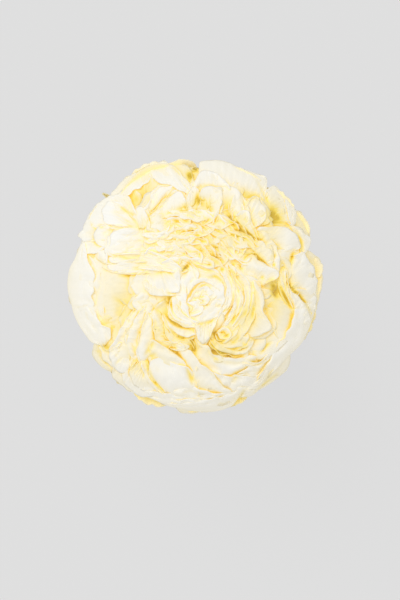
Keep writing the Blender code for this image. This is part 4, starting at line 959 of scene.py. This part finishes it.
def fill(rng):
    """Petals that close the gaps under the uppermost ones."""
    rows = []
    for turn, spot in spiral(UNDER_PETALS):
        place = UNDER_RADIUS * spot + rng.uniform(-2, 2, 2)
        if any(((place[0] - x) / a) ** 2 + ((place[1] - y) / b) ** 2 < 1 for x, y, a, b in HOLLOWS):
            continue
        # Painted shade: the under petals lie low and are coloured warmer.
        rows.append(tongue(place, turn + rng.normal(0, 0.5), rng.uniform(6, 11), rng.uniform(14, 24),
                           -rng.uniform(2.4, 4.4), rng.uniform(0.3, 0.7), rng.choice(["op", "os"])))
    return rows


def shell(sheet, thickness):
    """Vertices, quads and the (across, along) of a closed blade about a grid of points."""
    rows, cols = sheet.shape[:2]
    half = normals(sheet) * thickness / 2
    verts = np.concatenate([(sheet + half).reshape(-1, 3), (sheet - half).reshape(-1, 3)])
    grid = np.arange(rows * cols).reshape(rows, cols)
    quads = np.stack([grid[:-1, :-1], grid[:-1, 1:], grid[1:, 1:], grid[1:, :-1]], -1).reshape(-1, 4)
    edge = np.concatenate([grid[0, :-1], grid[:-1, -1], grid[-1, :0:-1], grid[:0:-1, 0]])
    following = np.roll(edge, -1)
    count = rows * cols
    rim = np.stack([edge, edge + count, following + count, following], -1)
    faces = np.concatenate([quads, quads[:, ::-1] + count, rim])
    across, along = np.meshgrid(np.linspace(0, 1, cols), np.linspace(0, 1, rows))
    return verts, faces, np.tile(np.stack([across.ravel(), along.ravel()], -1), (2, 1))


def turned(profile, sides):
    """Vertices and faces of a profile (radius, height) turned about Z, one vertex for a point on the axis."""
    verts, rings = [], []
    angles = [2 * math.pi * k / sides for k in range(sides)]
    for radius, z in profile:
        if radius == 0:
            rings.append([len(verts)] * sides)
            verts.append((0.0, 0.0, z))
        else:
            rings.append(list(range(len(verts), len(verts) + sides)))
            verts += [(radius * math.cos(a), radius * math.sin(a), z) for a in angles]
    faces = []
    for low, high in zip(rings, rings[1:]):
        for k in range(sides):
            j = (k + 1) % sides
            quad = list(dict.fromkeys((low[k], low[j], high[j], high[k])))
            if len(quad) > 2:
                faces.append(quad)
    return np.array(verts), faces


def on_base(verts):
    """Points in mm over the bloom's base, as metres in the frame."""
    return verts * MM + [0, 0, BLOOM_BASE]


def mesh_object(name, verts, faces, mat, slot, **layers):
    """A smooth piece, with values at its vertices that the material reads by name."""
    mesh = bpy.data.meshes.new(name)
    mesh.from_pydata(verts.tolist(), [], [tuple(f) for f in faces])
    mesh.validate()
    mesh.shade_smooth()
    mesh.materials.append(mat)
    for key, values in layers.items():
        layer = mesh.attributes.new(key, "FLOAT", "POINT")
        layer.data.foreach_set("value", np.full(len(verts), values, np.float32))
    obj = bpy.data.objects.new(name, mesh)
    bpy.context.scene.collection.objects.link(obj)
    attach(obj, "root")
    return obj


def petal_object(name, sheets, mat):
    """One piece of many petals, each a sheet with its warmth, closedness, depth and share of the side, which
    set its colour and painted shade.
    """
    verts, faces, layers = [], [], []
    base = 0
    for k, (sheet, *parts) in enumerate(sheets):
        v, f, place = shell(sheet, BLADE)
        verts.append(v * [SPREAD, SPREAD, 1])
        faces.append(f + base)
        tint = np.full(len(v), GOLDEN_SHARE * k % 1)
        layers.append([*place.T, *(np.tile(part.ravel(), 2) for part in parts), tint])
        base += len(v)
    names = ("across", "along", "warmth", "closed", "depth", "side", "tint")
    layers = dict(zip(names, np.concatenate(layers, axis=1)))
    faces = np.concatenate(faces).tolist()
    return mesh_object(name, on_base(np.concatenate(verts)), faces, mat, "petal cream", **layers)


class Nodes:
    """Short ways to add and link shader nodes."""

    def __init__(self, name):
        self.material = bpy.data.materials.new(name)
        self.material.use_nodes = True
        self.tree = self.material.node_tree
        self.shader = self.tree.nodes["Principled BSDF"]

    def put(self, socket, value):
        """Links the output of another node to a socket, or sets the socket's own value."""
        if isinstance(value, bpy.types.NodeSocket):
            self.tree.links.new(value, socket)
        else:
            socket.default_value = value

    def set(self, **values):
        for key, value in values.items():
            self.put(self.shader.inputs[key.replace("_", " ")], value)

    def add(self, kind, inputs=(), **settings):
        node = self.tree.nodes.new("ShaderNode" + kind)
        for key, value in settings.items():
            setattr(node, key, value)
        for key, value in dict(inputs).items():
            self.put(node.inputs[key], value)
        return node

    def value(self, name):
        return self.add("Attribute", attribute_name=name).outputs["Fac"]

    def geometry(self, name):
        return self.add("NewGeometry").outputs[name]

    def vector(self, x, y, z):
        return self.add("CombineXYZ", {"X": x, "Y": y, "Z": z}).outputs[0]

    def z_of(self, vector):
        return self.add("SeparateXYZ", {"Vector": vector}).outputs["Z"]

    def noise(self, **inputs):
        return self.add("TexNoise", inputs).outputs["Fac"]

    def math(self, operation, a, b=0.0, clamp=False):
        return self.add("Math", {0: a, 1: b}, operation=operation, use_clamp=clamp).outputs[0]

    def plus(self, a, b):
        return self.math("ADD", a, b)

    def minus(self, a, b):
        return self.math("SUBTRACT", a, b)

    def times(self, a, b, clamp=False):
        return self.math("MULTIPLY", a, b, clamp)

    def between(self, value, low, high):
        return self.add("MapRange", {"Value": value, "From Min": low, "From Max": high}).outputs["Result"]

    def ramp(self, factor, stops):
        node = self.add("ValToRGB", {"Fac": factor})
        elements = node.color_ramp.elements
        for k, (position, colour) in enumerate(stops):
            element = elements[k] if k < 2 else elements.new(position)
            element.position = position
            element.color = (*colour, 1)
        return node.outputs["Color"]

    def mix(self, factor, a, b, blend="MIX"):
        a, b = (colour if isinstance(colour, bpy.types.NodeSocket) else (*colour, 1) for colour in (a, b))
        return self.add("Mix", {0: factor, 6: a, 7: b}, data_type="RGBA", blend_type=blend).outputs[2]

    def bump(self, height, strength, distance):
        inputs = {"Strength": strength, "Distance": distance, "Height": height}
        return self.add("Bump", inputs).outputs[0]


def petal_material():
    """Pale where a petal lies open, deeper yellow as painted shade where petals press together, with a painted
    glow.
    """
    n = Nodes("petal")
    # Painted shade: how closely petals crowd a point near and far, how deep it lies under the dome, its
    # creases, how steeply it stands and its warmth turn the colour towards golden yellow.
    near, far = (n.minus(1.0, n.add("AmbientOcclusion", {"Distance": reach}, samples=8).outputs["AO"])
                 for reach in (CREASE_REACH, HOLLOW_REACH))
    deep = n.between(n.value("depth"), 1.5, 12)
    upward = n.z_of(n.geometry("True Normal"))
    steep = n.between(n.math("ABSOLUTE", upward), 0.85, 0.15)
    closed = 0.075
    for part, weight in ((near, 0.03), (far, 0.40), (deep, 0.15), (n.value("closed"), 0.56), (steep, 0.05),
                         (n.value("warmth"), 0.29)):
        closed = n.plus(n.times(part, weight), closed)
    # The bloom's sides stay an even cream.
    side = n.value("side")
    closed = n.plus(n.times(closed, n.minus(1.0, n.times(side, 0.7))), n.times(side, 0.16))
    colour = n.ramp(n.times(closed, 1.0, clamp=True), PETAL_COLOURS)

    # Veins run along the petal and fan out a little.
    across, along = n.value("across"), n.value("along")
    place = n.vector(across, n.times(along, 0.05), n.value("tint"))
    veins = n.noise(Vector=place, Scale=34.0, Detail=3.0)
    colour = n.mix(n.times(n.between(veins, 0.35, 0.7), 0.08), colour, VEIN_YELLOW)

    # Painted shade: steep faces are made a little olive.
    colour = n.mix(n.times(steep, 0.2), colour, STEEP_SHADE_OLIVE, "MULTIPLY")

    # The edge is paler, with a faint dry line in places.
    patches = n.noise(Vector=place, Scale=9.0)
    dry = n.times(n.between(along, 0.975, 1.0), n.between(patches, 0.45, 0.65))
    colour = n.mix(n.times(n.between(along, 0.9, 1.0), 0.15), colour, EDGE_CREAM)
    colour = n.mix(n.times(dry, 0.25), colour, DRY_BROWN)

    # Painted glow: emission stands in for light that comes through the thin blades where they press together or
    # stand upright.
    pressed = n.times(n.minus(near, side), 0.9, clamp=True)
    upright = n.times(steep, n.minus(0.5, n.times(far, 0.5)))
    painted_glow = n.mix(n.times(n.plus(pressed, upright), 1.0, clamp=True), (0, 0, 0), colour)
    grain = n.noise(Scale=900.0, Detail=2.0)
    relief = n.plus(n.times(veins, 0.7), n.times(grain, 0.3))
    n.set(Base_Color=colour, Roughness=0.65, Normal=n.bump(relief, 0.2, 0.0003), Specular_IOR_Level=0.2,
          Emission_Color=painted_glow, Emission_Strength=PAINTED_GLOW)
    return n.material


def green_material(name, young, old):
    """Veined green with brown blotches, yellow towards the tips."""
    n = Nodes(name)
    across, along = n.value("across"), n.value("along")
    veins = n.noise(Vector=n.vector(across, n.times(along, 0.08), 0.0), Scale=26.0, Detail=4.0)
    blotch = n.noise(Scale=120.0, Detail=3.0)
    colour = n.mix(n.between(veins, 0.35, 0.65), young, old)
    colour = n.mix(n.times(n.between(blotch, 0.5, 0.75), 0.35), colour, BLOTCH_BROWN)
    colour = n.mix(n.between(along, 0.65, 0.92), colour, TIP_YELLOW)
    n.set(Base_Color=colour, Roughness=0.5, Normal=n.bump(veins, 0.5, 0.0004))
    return n.material


def glaze_material():
    """Pale stoneware: a speckled satin glaze that stops above a bare foot."""
    n = Nodes("glaze")
    position = n.geometry("Position")
    cloud = n.noise(Vector=position, Scale=28.0, Detail=3.0)
    specks = n.noise(Vector=position, Scale=700.0, Detail=1.0)
    colour = n.mix(n.between(cloud, 0.35, 0.65), *GLAZES)
    colour = n.mix(n.between(specks, 0.70, 0.76), colour, SPECK_BROWN)
    glazed = n.between(n.plus(n.z_of(position), n.times(cloud, 0.004)), *GLAZE_LINE)
    colour = n.mix(glazed, BARE_CLAY, colour)
    rings = n.add("TexWave", {"Vector": position, "Scale": 90.0, "Distortion": 1.2, "Detail": 1.0},
                  bands_direction="Z").outputs["Fac"]
    relief = n.plus(n.times(rings, 0.6), n.times(specks, 0.4))
    rough = n.add("MapRange", {"Value": glazed, "To Min": 0.85, "To Max": 0.28}).outputs["Result"]
    n.set(Base_Color=colour, Roughness=rough, Normal=n.bump(relief, 0.18, 0.0005))
    return n.material


def water_material():
    """Clear water, hardly stirred."""
    n = Nodes("water")
    drift = n.noise(Scale=60.0, Detail=1.0)
    n.set(Base_Color=(0.93, 0.97, 0.96, 1), Roughness=0.02, IOR=1.333, Transmission_Weight=1.0,
          Normal=n.bump(drift, 0.05, 0.0005))
    return n.material


def build_upper(mat):
    """The petals that show on top, and the second rims behind them, in several pieces."""
    rows = [*UPPER, *(behind(row, k) for k, row in enumerate(UPPER) if has_behind(row))]
    sheets = [flush(row, CELL, np.random.default_rng(SEED + k)) for k, row in enumerate(rows)]
    share = math.ceil(len(sheets) / UPPER_PIECES)
    return [petal_object(f"upper_petals_{k + 1}", sheets[k * share: (k + 1) * share], mat)
            for k in range(UPPER_PIECES)]


def build_core(mat):
    """The plain core that closes the view between the petals."""
    top = [(radius, float(dome(radius)) - CORE_DEPTH) for radius in CORE_RADII]
    verts, faces = turned([*CORE_SIDE, *top], CORE_SIDES)
    # Painted shade: the core is coloured as deep and warm as the guards.
    mesh_object("core", on_base(verts), faces, mat, "petal cream", depth=CORE_DEPTH, across=0.5, along=0.3,
                tint=0.0, warmth=GUARD_SHADE_WARMTH, closed=0.0, side=0.0)


def build_bloom():
    """All petals and the core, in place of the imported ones."""
    mat = petal_material()
    pieces = build_upper(mat)
    guards = [guard(row, np.random.default_rng(GUARD_SEED + k)) for k, row in enumerate(GUARDS)]
    petal_object("guard_petals", guards + side_petals(np.random.default_rng(SEED)), mat)
    for name, small, cell in (("heart", heart, HEART_CELL), ("under_petals", fill, UNDER_CELL)):
        rows = small(np.random.default_rng(SEED))
        sheets = [flush(row, cell, np.random.default_rng(SMALL_SEED + k)) for k, row in enumerate(rows)]
        petal_object(name, sheets, mat)
    build_core(mat)
    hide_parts("petals")


def sepal(azimuth, length, half_width, tip_height, bend=None):
    """Sheet of one sepal, or with a bend of one bract, in mm from the bloom's base."""
    a = math.radians(azimuth)
    ray = np.array([math.cos(a), math.sin(a), 0])
    side = np.array([-math.sin(a), math.cos(a), 0])
    u = np.linspace(-1, 1, SEPAL_CELLS[0] + 1)[None, :, None]
    v = np.linspace(0, 1, SEPAL_CELLS[1] + 1)[:, None, None]
    start, low = SEPAL_FOOT
    pointed = bend is not None
    if pointed:
        breadth = half_width * (0.55 + 0.9 * v) * (1 - v ** 3) + 0.25
    else:
        breadth = half_width * np.sqrt(np.maximum(1 - (1.75 * v - 0.85) ** 2 * 0.98, 0.0)) + 0.8
    ribs = 0.18 * np.cos(7 * math.pi * u) * v * (1 - v) * 4 - 0.35 * np.exp(-(u / 0.12) ** 2) * (1 - v)
    height = low + (tip_height - low) * v ** (2.6 if pointed else 2.0) + 1.1 * u * u * v + ribs
    return ray * (start + (length - start) * v) + side * (breadth * u + (bend or 0.0) * v ** 8) + UP * height


def build_calyx(mat):
    """The calyx cup with its sepals and bracts, as one piece."""
    cup, faces = turned(CUP_PROFILE, CUP_SIDES)
    verts, places = [cup], [np.tile([0.5, 0.2], (len(cup), 1))]
    base = len(cup)
    for row in SEPALS + BRACTS:
        v, f, place = shell(sepal(*row), SEPAL_THICKNESS)
        verts.append(on_base(v))
        faces += (f + base).tolist()
        places.append(place)
        base += len(v)
    across, along = np.concatenate(places).T
    calyx = mesh_object("calyx", np.concatenate(verts), faces, mat, "calyx green", across=across, along=along)
    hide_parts("sepals")


def build_stem(mat):
    """A ridged stem with two leaf scars, cut straight at its foot."""
    path = catmull(STEM_PATH, 12)
    t = np.linspace(0, 1, len(path))[:, None, None]
    angle = np.linspace(0, 2 * math.pi, STEM_SIDES, endpoint=False)[None, :, None]
    tangent = unit(np.gradient(path, axis=0))[:, None]
    side = unit(np.cross(tangent, (0.0, 1.0, 0.0)))
    front = np.cross(side, tangent)
    swell = 1 - 0.04 * t + sum(rise * np.exp(-((t - at) / width) ** 2) for at, width, rise in SCARS)
    radius = STEM_RADIUS * np.minimum(swell * (0.95 + 0.03 * np.cos(5 * angle + 2 * t)), 1.06)
    verts = path[:, None] + radius * (side * np.cos(angle) + front * np.sin(angle))
    ring = [(j, (j + 1) % STEM_SIDES) for j in range(STEM_SIDES)]
    top = (len(path) - 1) * STEM_SIDES
    faces = [(low + a, low + b, low + STEM_SIDES + b, low + STEM_SIDES + a)
             for low in range(0, top, STEM_SIDES) for a, b in ring]
    faces += [range(STEM_SIDES)[::-1], range(top, top + STEM_SIDES)]
    stem = mesh_object("ridged_stem", verts.reshape(-1, 3), faces, mat, "stem green",
                       across=np.tile(np.arange(STEM_SIDES) / STEM_SIDES, len(path)),
                       along=np.repeat(0.7 * t.ravel(), STEM_SIDES))
    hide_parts("stem")


def build_vase():
    """The turned vase with a soft lip, replacing the faceted one."""
    outer = catmull(VASE_OUTER, 6)
    slope = unit(np.gradient(outer, axis=0))
    inner = outer + VASE_WALL * np.stack([-slope[:, 1], slope[:, 0]], -1)
    inner = inner[inner[:, 1] > VASE_FLOOR + WALL_END]
    lip_centre = (outer[-1] + inner[-1]) / 2
    lip_radius = np.linalg.norm(outer[-1] - inner[-1]) / 2
    toward = unit(outer[-1] - inner[-1])
    upward = np.array([-toward[1], toward[0]])
    lip = [lip_centre + lip_radius * (toward * math.cos(a) + upward * 1.1 * math.sin(a))
           for a in np.linspace(0, math.pi, 12)[1:-1]]
    corner = [(radius, VASE_FLOOR + height) for radius, height in VASE_CORNER]
    verts, faces = turned([*VASE_FOOT, *outer, *lip, *inner[::-1], *corner], VASE_SIDES)
    vase = mesh_object("thrown_vase", verts, faces, glaze_material(), "glaze")
    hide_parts("vase")


def build_camera():
    """The camera straight over the bloom, which lies a little aside of the picture's middle."""
    data = bpy.data.cameras.new("camera")
    data.sensor_fit = "VERTICAL"
    data.sensor_height = SENSOR_HEIGHT
    data.lens = SENSOR_HEIGHT * CAMERA_DISTANCE / (IMAGE[1] * MM_PER_PIXEL * MM)
    camera = bpy.data.objects.new("camera", data)
    aside = (IMAGE[0] / 2 - BLOOM_PIXEL[0]) * MM_PER_PIXEL * MM
    below = (BLOOM_PIXEL[1] - IMAGE[1] / 2) * MM_PER_PIXEL * MM
    camera.location = (aside, below, CAMERA_DISTANCE + BLOOM_BASE + WIDEST_PLANE)
    bpy.context.scene.collection.objects.link(camera)
    bpy.context.scene.camera = camera


def build_stage():
    """An even, bright floor."""
    n = Nodes("floor")
    colour = n.mix(n.noise(Scale=3.0), (0.12, 0.12, 0.12), (0.125, 0.125, 0.125))
    n.set(Base_Color=colour, Roughness=0.9, Specular_IOR_Level=0.0, Emission_Color=(1, 1, 1, 1),
          Emission_Strength=FLOOR_STRENGTH)
    mesh = bpy.data.meshes.new("floor")
    corners = [(FLOOR_REACH * x, FLOOR_REACH * y, 0) for x, y in ((-1, -1), (1, -1), (1, 1), (-1, 1))]
    mesh.from_pydata(corners, [], [(0, 1, 2, 3)])
    mesh.materials.append(n.material)
    floor = bpy.data.objects.new("floor", mesh)
    bpy.context.scene.collection.objects.link(floor)


def build_light():
    """Even white surroundings and a broad, soft lamp from the upper left."""
    world = bpy.data.worlds.new("studio")
    bpy.context.scene.world = world
    world.use_nodes = True
    background = world.node_tree.nodes["Background"]
    background.inputs["Color"].default_value = (1, 1, 1, 1)
    background.inputs["Strength"].default_value = WORLD_STRENGTH
    key = bpy.data.lights.new("key", "SUN")
    key.angle = math.radians(LAMP_WIDTH)
    key.energy = LAMP_STRENGTH
    lamp = bpy.data.objects.new("key", key)
    lamp.location = LAMP_PLACE
    lamp.rotation_mode = "QUATERNION"
    lamp.rotation_quaternion = (Vector((0, 0, BLOOM_BASE)) - lamp.location).to_track_quat("-Z", "Y")
    bpy.context.scene.collection.objects.link(lamp)
    bpy.context.scene.view_settings.view_transform = "Standard"


build_camera()
build_stage()
build_light()
build_bloom()
build_calyx(green_material("calyx", *CALYX_GREENS))
build_stem(green_material("stem", *STEM_GREENS))
build_vase()
bpy.data.objects["water"].material_slots[0].material = water_material()
